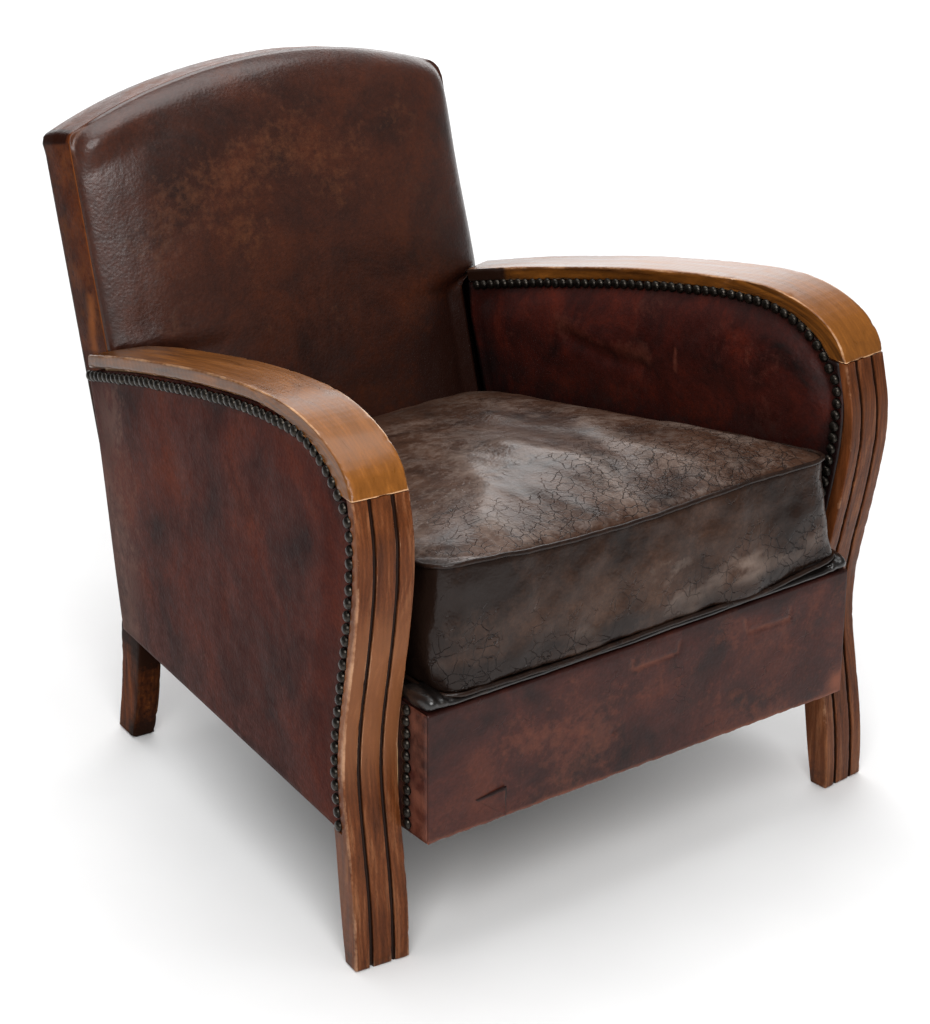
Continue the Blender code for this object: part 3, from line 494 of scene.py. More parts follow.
class Tree:
    """A node tree that is filled one node at a time."""

    def __init__(self, tree: bpy.types.NodeTree) -> None:
        """Empty a tree and take it over."""
        self.tree = tree
        tree.nodes.clear()

    def add(self, kind: str, inputs: dict | None = None, out: int | str = 0,
            stops: tuple = (), **settings: object) -> Socket | bpy.types.Node:
        """Add a node with its settings and links.

        Args:
            kind: the node's type.
            inputs: a value or an output socket for each of its inputs, by name or number.
            out: which output to return.
            stops: (place, hex colour or grey) of each stop, for a colour ramp.
            **settings: the node's own properties.

        Returns:
            The output socket, or the node itself where it has no outputs.
        """
        node = self.tree.nodes.new(kind)
        for key, value in settings.items():
            setattr(node, key, value)
        for key, value in (inputs or {}).items():
            if isinstance(value, Socket):
                self.tree.links.new(value, node.inputs[key])
            else:
                node.inputs[key].default_value = value
        for i, (place, colour) in enumerate(stops):
            element = node.color_ramp.elements[i] if i < 2 else node.color_ramp.elements.new(place)
            element.position = place
            element.color = linear(colour) if isinstance(colour, str) else (colour,) * 3 + (1.0,)
        return node.outputs[out] if len(node.outputs) else node

    def place(self) -> Socket:
        """Places on the piece, in metres."""
        return self.add("ShaderNodeTexCoord", out="Object")

    def worn(self, name: str) -> Socket:
        """One of the values that the piece carries at each point."""
        return self.add("ShaderNodeAttribute", out="Fac", attribute_name=name)

    def math(self, operation: str, *values: Socket | float) -> Socket:
        """One sum on values."""
        return self.add("ShaderNodeMath", dict(enumerate(values)), operation=operation)

    def span(self, value: Socket, low: float, high: float, start: float = 0.0,
             end: float = 1.0) -> Socket:
        """A value stretched from the range low to high onto start to end, and kept in it."""
        return self.add("ShaderNodeMapRange", {"Value": value, "From Min": low, "From Max": high,
                                               "To Min": start, "To Max": end})

    def noise(self, place: Socket, scale: float, detail: float = 2.0, rough: float = 0.5,
              bend: float = 0.0, out: int | str = 0) -> Socket:
        """Clouds of a scale per metre."""
        return self.add("ShaderNodeTexNoise", {"Vector": place, "Scale": scale, "Detail": detail,
                                               "Roughness": rough, "Distortion": bend}, out)

    def waves(self, place: Socket, scale: float, bend: float, detail: float = 2.0,
              fine: float = 1.0, axis: str = "X") -> Socket:
        """Bent bands across an axis.

        Args:
            place: the coordinates.
            scale: waves for each metre.
            bend: the distortion.
            detail: layers of noise.
            fine: the scale of the detail.
            axis: the direction of the bands.

        Returns:
            The height of the wave, 0 to 1.
        """
        return self.add("ShaderNodeTexWave", {"Vector": place, "Scale": scale, "Distortion": bend,
                                              "Detail": detail, "Detail Scale": fine},
                        bands_direction=axis)

    def stretch(self, place: Socket, *scale: float) -> Socket:
        """Places scaled by axis."""
        return self.add("ShaderNodeMapping", {"Vector": place, "Scale": scale})

    def ramp(self, value: Socket, *stops: tuple) -> Socket:
        """A value as a colour between stops."""
        return self.add("ShaderNodeValToRGB", {"Fac": value}, stops=stops)

    def blend(self, share: Socket | float, first: object, second: object,
              how: str = "MIX") -> Socket:
        """Two colours mixed by a share."""
        return self.add("ShaderNodeMix", {0: share, 6: first, 7: second}, 2, data_type="RGBA",
                        blend_type=how)

    def coat(self, amount: str, rag: Socket, low: float, high: float, under: Socket,
             colour: str) -> Socket:
        """Lay a colour over another, in rags, where the piece carries more of an amount."""
        share = self.span(self.math("ADD", self.worn(amount), rag), low, high)
        return self.blend(share, under, linear(colour))

    def bump(self, height: Socket, strength: float, depth: float, under: Socket | None = None,
             **settings: object) -> Socket:
        """A surface raised by a height, on top of another one.

        Args:
            height: what is raised.
            strength: how much of it shows.
            depth: its height in metres.
            under: the bump below it.
            settings: other inputs of the node.

        Returns:
            The bent normal.
        """
        inputs = {"Strength": strength, "Distance": depth, "Height": height}
        if under is not None:
            inputs["Normal"] = under
        return self.add("ShaderNodeBump", inputs, **settings)

    def surface(self, **inputs: object) -> None:
        """End a material's tree with its surface, whose inputs are named with underscores.

        Args:
            inputs: sockets and values of the surface node.
        """
        made = self.add("ShaderNodeBsdfPrincipled",
                        {key.replace("_", " "): value for key, value in inputs.items()})
        self.add("ShaderNodeOutputMaterial", {"Surface": made})


@dataclass(frozen=True)
class Finish:
    """Something that a piece is made of or finished with."""

    name: str

    def build(self) -> Material:
        """Make the material.

        Returns:
            The material, under the finish's name.
        """
        material = bpy.data.materials.new(self.name)
        material.use_nodes = True
        self.lay(Tree(material.node_tree))
        return material

    def lay(self, t: Tree) -> None:
        """Fill the material's tree."""
        raise NotImplementedError


@dataclass(frozen=True)
class Leather(Finish):
    """Aniline-dyed cowhide under an old shellac glaze: soft grain, dark creases, rubbed high spots,
    with painted sheen and painted shade laid on where a piece's values call for them.

    The glaze gives a broad sheen with a sharper coat over it, broken where the hide is dry.
    """

    deep: str
    body: str
    warm: str
    # The pale colour of bare hide, which also paints sheen and highlights.
    rubbed: str
    patch: float = 0.070
    warmth: float = 0.55
    grain: float = 0.0034
    grain_depth: float = 0.00022
    crease_depth: float = 0.0007
    rough: tuple[float, float] = (0.34, 0.52)
    sheen: float = 0.35
    coat: float = 0.10
    coat_rough: float = 0.25
    cell: float = 0.012
    crack_depth: float = 0.0011
    crack_colour: str = "#140d0b"

    def lay(self, t: Tree) -> None:
        """Lay the dye in blotches, then bare hide with painted sheen, dirt with painted shade,
        crazing, creases and grain over it.

        Args:
            t: the material's tree.
        """
        place = t.place()
        blotch = t.noise(place, 1 / self.patch, 7.0, 0.62, 0.5)
        colour = t.ramp(blotch, (0.30, self.deep), (0.52, self.body),
                        (0.52 + 0.30 * (1.1 - self.warmth), self.warm))
        mist = t.span(t.noise(place, 240.0, 4.0, 0.7), 0.3, 0.7, 0.74, 1.22)
        colour = t.blend(1.0, colour, mist, "MULTIPLY")
        rag = t.noise(place, 85.0, 8.0, 0.72)
        # Bare hide where the wear values are high; these values also carry painted sheen and
        # painted highlights.
        bare_and_sheen = t.span(t.math("ADD", t.worn("wear"), rag), 0.72, 1.40)
        colour = t.blend(bare_and_sheen, colour, linear(self.rubbed))
        # The deep colour over dirt; the same values also carry painted shade.
        colour = t.coat("grime", rag, 0.7, 1.3, colour, self.deep)
        split = self.crazing(t, place)
        colour = t.blend(t.math("MULTIPLY", split, 0.68), colour, linear(self.crack_colour))
        pebble = t.add("ShaderNodeTexVoronoi", {"Vector": place, "Scale": 1 / self.grain,
                                                "Smoothness": 0.6}, feature="SMOOTH_F1")
        normal = t.bump(t.noise(place, 62.0, 6.0, 0.6, 0.8), 0.6, self.crease_depth)
        normal = t.bump(pebble, 0.7, self.grain_depth, normal)
        normal = t.bump(split, 0.9, self.crack_depth, normal, invert=True)
        dull = t.math("MULTIPLY_ADD", bare_and_sheen, 0.22, t.span(rag, 0.3, 0.7, *self.rough))
        t.surface(Base_Color=colour, Roughness=dull, Normal=normal, IOR=1.48,
                  Specular_IOR_Level=self.sheen, Coat_Weight=self.coat,
                  Coat_Roughness=self.coat_rough, Coat_Normal=normal)

    def crazing(self, t: Tree, place: Socket) -> Socket:
        """Break the glaze into plates, larger ones split by finer lines.

        Args:
            t: the material's tree.
            place: places on the piece.

        Returns:
            1 in the splits and 0 on the plates.
        """
        bent = t.noise(place, 0.6 / self.cell, 3.0, out="Color")
        bent = t.add("ShaderNodeVectorMath", {0: bent, 1: (0.5, 0.5, 0.5)}, operation="SUBTRACT")
        bent = t.add("ShaderNodeVectorMath", {0: bent, "Scale": self.cell * 1.3}, operation="SCALE")
        bent = t.add("ShaderNodeVectorMath", {0: place, 1: bent}, operation="ADD")
        gate = t.math("ADD", t.worn("crack"), t.noise(place, 0.42 / self.cell, 3.0))
        splits = []
        for share, width, need in ((1.0, 0.036, 0.75), (0.45, 0.034, 1.05)):
            cells = t.add("ShaderNodeTexVoronoi", {"Vector": bent, "Scale": 1 / (self.cell * share),
                                                   "Randomness": 1.0}, feature="DISTANCE_TO_EDGE")
            line = t.span(cells, width * 0.3, width, 1.0, 0.0)
            splits.append(t.math("MULTIPLY", line, t.span(gate, need, need + 0.22)))
        return t.math("MAXIMUM", *splits)


@dataclass(frozen=True)
class Beech(Finish):
    """Steamed beech, stained brown and waxed: short dark flecks, pale rubbed arrises.

    The grain runs along the bent board, so it is drawn on the piece's own lengthwise field.
    """

    dark: str
    body: str
    gold: str
    rubbed: str
    rough: tuple[float, float] = (0.26, 0.42)
    sheen: float = 0.4
    coat: float = 0.25
    dirt: str = "#23130c"

    def lay(self, t: Tree) -> None:
        """Draw streaks some 9 mm by 120 mm and flecks some 0.6 mm by 5 mm, then the gold tone, wear
        and dirt; on the left post the gold tone and the wear also lay a painted sheen.

        Args:
            t: the material's tree.
        """
        grain = t.add("ShaderNodeAttribute", out="Vector", attribute_name="grain")
        streak = t.noise(t.stretch(grain, 8.0, 110.0, 110.0), 1.0, 6.0, 0.6, 0.35)
        fleck = t.noise(t.stretch(grain, 190.0, 1500.0, 1500.0), 1.0)
        rings = t.waves(t.stretch(grain, 11.0, 26.0, 26.0), 2.6, 16.0, 2.0, 0.35, "Y")
        colour = t.ramp(streak, (0.30, self.dark), (0.52, self.body), (0.74, self.gold))
        colour = t.blend(1.0, colour, t.span(rings, 0.0, 1.0, 0.80, 1.10), "MULTIPLY")
        colour = t.blend(1.0, colour, t.span(fleck, 0.36, 0.52, 0.72, 1.0), "MULTIPLY")
        # The gold tone, which on the left post also paints a sheen.
        colour = t.blend(t.math("MULTIPLY", t.worn("gold"), 0.75), colour, linear(self.gold))
        rag = t.noise(grain, 130.0, 6.0, 0.7)
        colour = t.coat("wear", rag, 1.0, 1.6, colour, self.rubbed)
        colour = t.coat("grime", rag, 0.75, 1.25, colour, self.dirt)
        planed = t.bump(t.waves(grain, 32.0, 2.5, 2.0, 30.0), 0.22, 0.0003,
                        t.bump(fleck, 0.35, 0.0002))
        normal = t.bump(streak, 0.35, 0.0006, planed)
        t.surface(Base_Color=colour, Roughness=t.span(streak, 0.3, 0.7, *self.rough),
                  Normal=normal, IOR=1.5, Specular_IOR_Level=self.sheen, Coat_Weight=self.coat,
                  Coat_Roughness=0.16)


@dataclass(frozen=True)
class Metal(Finish):
    """Plated or drawn metal with uneven tarnish, dull in its pits."""

    bright: str
    dark: str
    size: float = 0.004
    rough: tuple[float, float] = (0.42, 0.22)

    def lay(self, t: Tree) -> None:
        """Draw tarnish spots of the metal's size.

        Args:
            t: the material's tree.
        """
        spots = t.noise(t.place(), 1 / self.size, 4.0, 0.65)
        t.surface(Base_Color=t.ramp(spots, (0.34, self.dark), (0.68, self.bright)),
                  Roughness=t.span(spots, 0.3, 0.7, *self.rough),
                  Normal=t.bump(spots, 0.3, 0.0002), Metallic=0.9)


@dataclass(frozen=True)
class Cloth(Finish):
    """Plain-woven or felted fibre: threads each way, darker in the gaps, quite matt."""

    light: str
    dark: str
    thread: float = 0.0025

    def lay(self, t: Tree) -> None:
        """Weave threads at their spacing.

        Args:
            t: the material's tree.
        """
        place = t.place()
        weave = t.math("MAXIMUM", *[t.waves(place, 0.32 / self.thread, 1.2, 1.0, axis=axis)
                                    for axis in ("X", "Y")])
        shade = t.math("MULTIPLY", weave, t.noise(place, 60.0, 6.0))
        t.surface(Base_Color=t.ramp(shade, (0.15, self.dark), (0.6, self.light)), Roughness=0.92,
                  Normal=t.bump(weave, 0.5, 0.0006))


@dataclass(frozen=True)
class RawWood(Finish):
    """Sawn beech that was never finished: pale, with saw marks across the grain."""

    dark: str = "#7d5f3e"
    light: str = "#b18f66"

    def lay(self, t: Tree) -> None:
        """Draw streaks some 8 mm wide.

        Args:
            t: the material's tree.
        """
        streak = t.noise(t.stretch(t.place(), 90.0, 9.0, 90.0), 1.0, 6.0)
        t.surface(Base_Color=t.ramp(streak, (0.3, self.dark), (0.7, self.light)), Roughness=0.8,
                  Normal=t.bump(t.waves(t.place(), 110.0, 2.0), 0.3, 0.0004))


@dataclass(frozen=True)
class Paper(Finish):
    """The seamless paper of the studio floor."""

    def lay(self, t: Tree) -> None:
        """Draw its faint pulp."""
        pulp = t.noise(t.place(), 3.0, 3.0)
        t.surface(Base_Color=t.ramp(pulp, (0.3, "#f4f4f4"), (0.7, "#fbfbfb")), Roughness=0.9)


# ---- repeated small things

def scatter_tree() -> bpy.types.NodeTree:
    """A tree that sets one shape on every point of a mesh, facing its "facing" attribute.

    Returns:
        The node group.
    """
    tree = bpy.data.node_groups.new("set_on_points", "GeometryNodeTree")
    for name, kind, way in (("Points", "Geometry", "INPUT"), ("Shape", "Object", "INPUT"),
                            ("Material", "Material", "INPUT"), ("Tilt", "Float", "INPUT"),
                            ("Unevenness", "Float", "INPUT"), ("Seed", "Int", "INPUT"),
                            ("Result", "Geometry", "OUTPUT")):
        tree.interface.new_socket(name=name, in_out=way, socket_type="NodeSocket" + kind)
    t = Tree(tree)
    given = tree.nodes.new("NodeGroupInput").outputs
    shape = t.add("GeometryNodeObjectInfo", {"Object": given["Shape"]}, out="Geometry",
                  transform_space="ORIGINAL")
    facing = t.add("GeometryNodeInputNamedAttribute", {"Name": "facing"}, data_type="FLOAT_VECTOR")
    turn = t.add("FunctionNodeAlignRotationToVector", {"Vector": facing}, axis="Z")
    low = t.math("MULTIPLY", given["Tilt"], -1.0)
    lows = t.add("ShaderNodeCombineXYZ", {"X": low, "Y": low, "Z": -math.pi})
    highs = t.add("ShaderNodeCombineXYZ", {"X": given["Tilt"], "Y": given["Tilt"], "Z": math.pi})
    lean = t.add("FunctionNodeRandomValue", {"Min": lows, "Max": highs, "Seed": given["Seed"]},
                 data_type="FLOAT_VECTOR")
    lean = t.add("FunctionNodeEulerToRotation", {"Euler": lean})
    turn = t.add("FunctionNodeRotateRotation", {"Rotation": turn, "Rotate By": lean},
                 rotation_space="LOCAL")
    size = t.add("FunctionNodeRandomValue", {
        "Min": t.math("SUBTRACT", 1.0, given["Unevenness"]),
        "Max": t.math("ADD", 1.0, given["Unevenness"]), "Seed": given["Seed"]},
                 data_type="FLOAT_VECTOR")
    placed = t.add("GeometryNodeInstanceOnPoints", {"Points": given["Points"], "Instance": shape,
                                                    "Rotation": turn, "Scale": size})
    real = t.add("GeometryNodeRealizeInstances", {"Geometry": placed})
    dressed = t.add("GeometryNodeSetMaterial", {"Geometry": real, "Material": given["Material"]})
    t.add("NodeGroupOutput", {"Result": dressed})
    return tree


def scatter(tree: bpy.types.NodeTree, name: str, points: Array, facing: Array,
            shape: Piece, finish: Material, tilt: float, uneven: float,
            seed: int) -> Piece:
    """Set a shape on points, by Geometry Nodes.

    Args:
        tree: the tree that does it.
        name: the piece's name.
        points: where the shapes go.
        facing: which way each one's top looks.
        shape: the shape, at the origin with its top along +Z.
        finish: its material.
        tilt: the most that one leans, in radians.
        uneven: how far sizes stray from 1.
        seed: the random order.

    Returns:
        One piece that holds them all.
    """
    mesh = bpy.data.meshes.new(name)
    mesh.from_pydata(np.asarray(points).tolist(), [], [])
    layer = mesh.attributes.new("facing", "FLOAT_VECTOR", "POINT")
    layer.data.foreach_set("vector", np.asarray(facing, np.float32).ravel())
    piece = bpy.data.objects.new(name, mesh)
    bpy.context.scene.collection.objects.link(piece)
    nodes = piece.modifiers.new("set_on_points", "NODES")
    nodes.node_group = tree
    values = {"Shape": shape, "Material": finish, "Tilt": tilt, "Unevenness": uneven, "Seed": seed}
    for item in tree.interface.items_tree:
        if item.in_out == "INPUT" and item.name in values:
            nodes[item.identifier] = values[item.name]
    settle(piece)
    piece.data.shade_smooth()
    return piece


def stud(name: str, radius: float, height: float, sides: int = 12) -> Piece:
    """A domed nail head or tack, closed underneath, at the origin and not shown.

    Args:
        name: the name of the mesh.
        radius: of the head.
        height: of the dome.
        sides: around the head.

    Returns:
        One head, for the rows to repeat.
    """
    profile = ((1.0, 0.0), (0.98, 0.30), (0.86, 0.62), (0.64, 0.85), (0.34, 0.97))
    turns = np.linspace(0, 2 * math.pi, sides, endpoint=False)
    rings = [[(radius * r * math.cos(a), radius * r * math.sin(a), height * h) for a in turns]
             for r, h in profile]
    shell = Shell()
    index = shell.grid(np.array(rings), wrap=True)
    shell.fill(index[0])
    shell.points.append(np.array([[0.0, 0.0, height]]))
    tip = shell.count
    shell.count += 1
    shell.faces += [[int(index[-1][i]), int(index[-1][(i + 1) % sides]), tip] for i in range(sides)]
    return shell.object(name)


# ---- shaping helpers

def coordinates(piece: Piece) -> Array:
    """The places of a piece's points.

    Args:
        piece: the mesh object.

    Returns:
        One row for each vertex.
    """
    flat = np.empty(len(piece.data.vertices) * 3, np.float32)
    piece.data.vertices.foreach_get("co", flat)
    return flat.reshape(-1, 3).astype(float)


def field(piece: Piece, name: str) -> Array:
    """One of the values that a piece carries at each point.

    Args:
        piece: the mesh object.
        name: the attribute.

    Returns:
        One value for each vertex.
    """
    flat = np.empty(len(piece.data.vertices), np.float32)
    piece.data.attributes[name].data.foreach_get("value", flat)
    return flat.astype(float)


def swell(piece: Piece, heights: Array) -> None:
    """Move each point of a piece outwards along its normal by its own height.

    Args:
        piece: the mesh object.
        heights: one for each vertex.
    """
    normals = np.empty(len(piece.data.vertices) * 3, np.float32)
    piece.data.vertex_normals.foreach_get("vector", normals)
    moved = coordinates(piece) + normals.reshape(-1, 3) * np.asarray(heights)[:, None]
    piece.data.vertices.foreach_set("co", moved.astype(np.float32).ravel())
    piece.data.update()


def batter(piece: Piece, depth: float, size: float, seed: float) -> None:
    """Knock small dents out of the arrises of a wooden piece, where its wear is high.

    Args:
        piece: the mesh object.
        depth: of the dents.
        size: their width.
        seed: which noise.
    """
    places = coordinates(piece)
    dents = np.clip(rumple(places, size, seed, 3) - 0.12, 0, 0.5) * 2
    swell(piece, -depth * dents * field(piece, "wear"))


def loft(shell: Shell, rings: Array, **fields: Array) -> None:
    """Add a closed solid through rings of as many points each.

    Args:
        shell: where the faces go.
        rings: rows of points.
        fields: the wear of each point.
    """
    index = shell.grid(rings, wrap=True, **fields)
    shell.fill(index[0])
    shell.fill(index[-1])


def wooden(side: Side, kind: str, slot: str, finish: Material, rings: Array, depth: float,
           size: float, seed: float, **fields: Array) -> Piece:
    """Make one side's wooden piece, with small dents in its arrises.

    Args:
        side: the side it belongs to.
        kind: its name without the side.
        slot: the part's material slot that it stands for.
        finish: its material.
        rings: the rings of points that it is lofted through.
        depth: how deep the dents are.
        size: how large they are.
        seed: their random order.
        **fields: values for the finish at each point.

    Returns:
        The dressed piece.
    """
    shell = Shell()
    loft(shell, rings, **fields)
    piece = shell.object(f"{kind}_{side.word}_wood")
    batter(piece, depth, size, seed)
    piece.data.set_sharp_from_angle(angle=SHARP)
    return dress(piece, finish, slot, f"{kind}_{side.word}")


# ---- wooden pieces

@dataclass(frozen=True)
class ArmCap:
    """One bent wooden arm, from its nose over the front post to its slanted rear cut."""

    side: Side
    width: float = 0.0604
    rear_outer: float = 0.596
    rear_inner: float = 0.566
    arris: float = 0.0024
    crown: float = 0.0006
    steps: int = 15

    def section(self) -> Array:
        """The cut through the board.

        Returns:
            Rows of off, height, upper face and wear.
        """
        w, r = self.width, self.arris
        turn = np.linspace(0, math.pi / 2, 5)[1:-1]
        flat = [r, r + 0.0018, *np.linspace(0.009, w - 0.009, 9), w - r - 0.0018, w - r]
        ring = [(off, 0.0, 0, 0.1) for off in flat]
        ring += [(w - r + r * math.sin(a), r - r * math.cos(a), 0, 1.0) for a in turn]
        ring += [(w, r, 0, 0.5), (w, r + 0.002, 0, 0.0), (w, -r - 0.002, 1, 0.0), (w, -r, 1, 0.6)]
        ring += [(w - r + r * math.cos(a), -r + r * math.sin(a), 1, 1.0) for a in turn]
        ring += [(off, self.crown * (1 - ((off - w / 2) / (w / 2)) ** 2), 1,
                  0.55 if off in (w - r, r) else 0.0) for off in flat[::-1]]
        ring += [(r - r * math.sin(a), -r + r * math.cos(a), 1, 1.0) for a in turn]
        ring += [(0.0, -r, 1, 0.6), (0.0, -r - 0.002, 1, 0.0), (0.0, r + 0.002, 0, 0.0),
                 (0.0, r, 0, 0.5)]
        ring += [(r - r * math.cos(a), r - r * math.sin(a), 0, 1.0) for a in turn[::-1]]
        return np.array(ring)

    def build(self, finish: Material) -> Piece:
        """Make the piece with its wear, its dents and the field that its grain follows.

        Args:
            finish: the material of the piece.

        Returns:
            The finished piece.
        """
        top, under = smooth(CAP_TOP, self.steps), smooth(CAP_UNDER, self.steps)
        ring = self.section()
        off, height, upper, edge = ring.T
        stop = self.rear_outer + (self.rear_inner - self.rear_outer) * off / self.width
        shares = np.linspace(0, 1, len(top))
        middle = (top[:, 0] + under[:, 0]) / 2
        end = np.interp(stop, middle, shares)
        at = shares[:, None] * end[None, :]
        line = [[np.interp(at, shares, rail[:, k]) for k in (0, 1)] for rail in (top, under)]
        rise = [line[0][k] - line[1][k] for k in (0, 1)]
        thick = np.hypot(*rise)
        share = (height[None, :] + upper[None, :] * thick) / thick
        u = line[1][0] + rise[0] * share
        z = line[1][1] + rise[1] * share
        if self.side is Side.RIGHT:
            full = np.exp(-((u - 0.085) / 0.075) ** 2) * ease(-0.004, 0.03, u)
            u, z = u - 0.0016 * full, z + (0.0042 + 0.0010 * (1 - off / self.width)[None]) * full
        places = side_point(self.side, u, off[None, :], z)
        run = np.interp(at, shares, np.concatenate([[0], np.cumsum(
            np.linalg.norm(np.diff(top, axis=0), axis=1))]))
        seed = self.side.pick(3.0, 8.0)
        grain = join(run + seed, off, share * thick)
        rubbed = rumple(places, 0.05, seed)
        wear = edge[None, :] * (0.62 + 0.45 * rubbed)
        wear = np.maximum(wear, 1.2 * np.exp(-(run / 0.0013) ** 2) * (share > 0.2))
        front = fade(0.03, 0.16, u)
        top_face = upper[None, :] * (np.abs(off - self.width / 2) < self.width / 2 - 0.001)[None, :]
        gold = 0.10 + 0.30 * top_face * fade(0.25, 0.50, u) + 0.25 * front
        if self.side is Side.RIGHT:
            gold = gold - 0.4 * (1 - top_face)
        grime = 0.42 * ease(self.rear_inner - 0.10, self.rear_inner, u) + 0.22 * (share < 0.06)
        inner = ease(self.width - 0.004, self.width, off)[None, :]
        grime += (0.2 + 0.6 * ease(0.500, 0.512, u)) * inner * ease(0.30, 0.50, u)
        return wooden(self.side, "arm_cap", "cap_wood", finish, places, 0.0016, 0.012, seed,
                      grain=grain, wear=wear, gold=gold, grime=grime)


@dataclass(frozen=True)
class FrontPost:
    """One curved front post with its two grooves, its rebates for the leather and its foot."""

    side: Side
    outer: float = 0.0002
    inner: float = 0.0598
    rear: tuple = ((0.0295, -LIFT), (0.036, 0.036), (0.042, 0.084), (0.047, 0.130), (0.050, 0.142))
    grooves: tuple = (0.0178, 0.0420)
    groove_half: float = 0.0021
    groove_depth: float = 0.0040
    lip: float = 0.0008
    arris: float = 0.0016
    rebate: float = 0.0022

    def face(self) -> list[tuple[float, float, float, float]]:
        """The front face across: off, how far back, wear and grime.

        Returns:
            Rows of off, depth, wear and grime.
        """
        r, a, b = self.arris, self.outer, self.inner
        turn = np.linspace(0, math.pi / 2, 5)
        row = [(a + r - r * math.cos(t), r - r * math.sin(t), 0.92, 0.0) for t in turn]
        row.append((a + r + 0.0015, 0.0, 0.1, 0.0))
        h, d, p = self.groove_half, self.groove_depth, self.lip
        wall = [(h + 0.004, 0.0, 0.0, 0.0), (h + p, 0.0, 0.35, 0.0),
                (h + 0.3 * p, 0.15 * p, 0.8, 0.1), (h, p, 0.3, 0.5), (0.75 * h, 0.85 * d, 0.0, 1.0)]
        for groove in self.grooves:
            row += [(groove - off, *rest) for off, *rest in wall] + [(groove, d, 0.0, 1.0)]
            row += [(groove + off, *rest) for off, *rest in wall[::-1]]
        row.append((b - r - 0.0015, 0.0, 0.1, 0.0))
        row += [(b - r + r * math.sin(t), r - r * math.cos(t), 0.7, 0.0) for t in turn]
        return row

    def build(self, finish: Material) -> Piece:
        """Make the piece from the floor to the underside of the arm.

        Args:
            finish: the material of the piece.

        Returns:
            The finished piece.
        """
        lows = [-LIFT, -LIFT + 0.0008, -LIFT + 0.0022, *np.linspace(0.004, 0.138, 22)]
        highs = [UNDERSIDE - 0.0012, UNDERSIDE - 0.0004, *np.linspace(0.147, POST_TOP, 56)]
        levels = np.array([*lows, *highs])
        front = post_front(levels)
        line = smooth(self.rear, 8)
        back = np.interp(levels, line[:, 1], line[:, 0])
        sole = np.interp(levels, [-LIFT, -LIFT + 0.0022], [0.0022, 0.0])
        cut = self.rebate * (levels >= UNDERSIDE - 0.0005)
        face = np.array(self.face())
        rings, wears, grimes = [], [], []
        for z, u, rear, toe, step in zip(levels, front, back, sole, cut):
            middle = (self.outer + self.inner) / 2
            squeeze = 1 - toe / (self.inner - self.outer) * 2
            ring = [(middle + (o - middle) * squeeze, u + toe + d) for o, d, _, _ in face]
            sides = [(SETBACK - 0.0006, 0.0), (SETBACK + 0.0002, step)]
            inner = [(self.inner - toe - s, u + b) for b, s in sides]
            inner += [(self.inner - toe - step, rear - 0.003 - toe),
                      (self.inner - toe - step - 0.003, rear - toe)]
            outer = [(self.outer + toe + step + 0.003, rear - toe),
                     (self.outer + toe + step, rear - 0.003 - toe)]
            outer += [(self.outer + toe + s, u + b) for b, s in sides[::-1]]
            rings.append([(u_, o_, z) for o_, u_ in ring + inner + outer])
            extra = len(inner) + len(outer)
            scuff = 0.5 * fade(0.0, 0.02, z + LIFT)
            wears.append([w + scuff for w in face[:, 2]] + [scuff] * extra)
            low = 0.30 * fade(0.0, 0.05, z + LIFT)
            grimes.append([g + low for g in face[:, 3]] + [low + 0.15] * extra)
        rings = np.array(rings)
        # The head slants up to the underside of the arm behind the nose of the cap.
        for u_front, z_front in ((0.0245, 0.4976), (0.046, 0.5152)):
            ring = rings[-1].copy()
            ring[:, 0] = np.clip(ring[:, 0], u_front, None)
            ring[:, 2] = z_front
            rings = np.concatenate([rings, ring[None]])
            wears.append([0.0] * ring.shape[0])
            grimes.append([0.5] * ring.shape[0])
        u, off, z = np.moveaxis(rings, -1, 0)
        places = side_point(self.side, u, off - lean(self.side, z), z)
        seed = self.side.pick(14.0, 19.0)
        grain = join(z + seed, off, u)
        wear = np.array(wears) * (0.62 + 0.5 * rumple(places, 0.045, seed))
        # Painted sheen: a lighter band up the left post, about 0.2 to 0.37 m high, laid through its
        # wear and gold values.
        painted_sheen = ease(0.17, 0.25, z) * fade(0.33, 0.41, z) * self.side.pick(1.0, 0.0)
        wear[:, :len(face)] += (0.22 * painted_sheen * (np.array(grimes) < 0.4))[:, :len(face)]
        gold = 0.10 + 0.12 * rumple(places, 0.09, seed + 1) + 0.75 * painted_sheen
        return wooden(self.side, "front_post", "post_wood", finish, places, 0.0011, 0.010, seed,
                      grain=grain, wear=wear, gold=gold, grime=np.array(grimes))


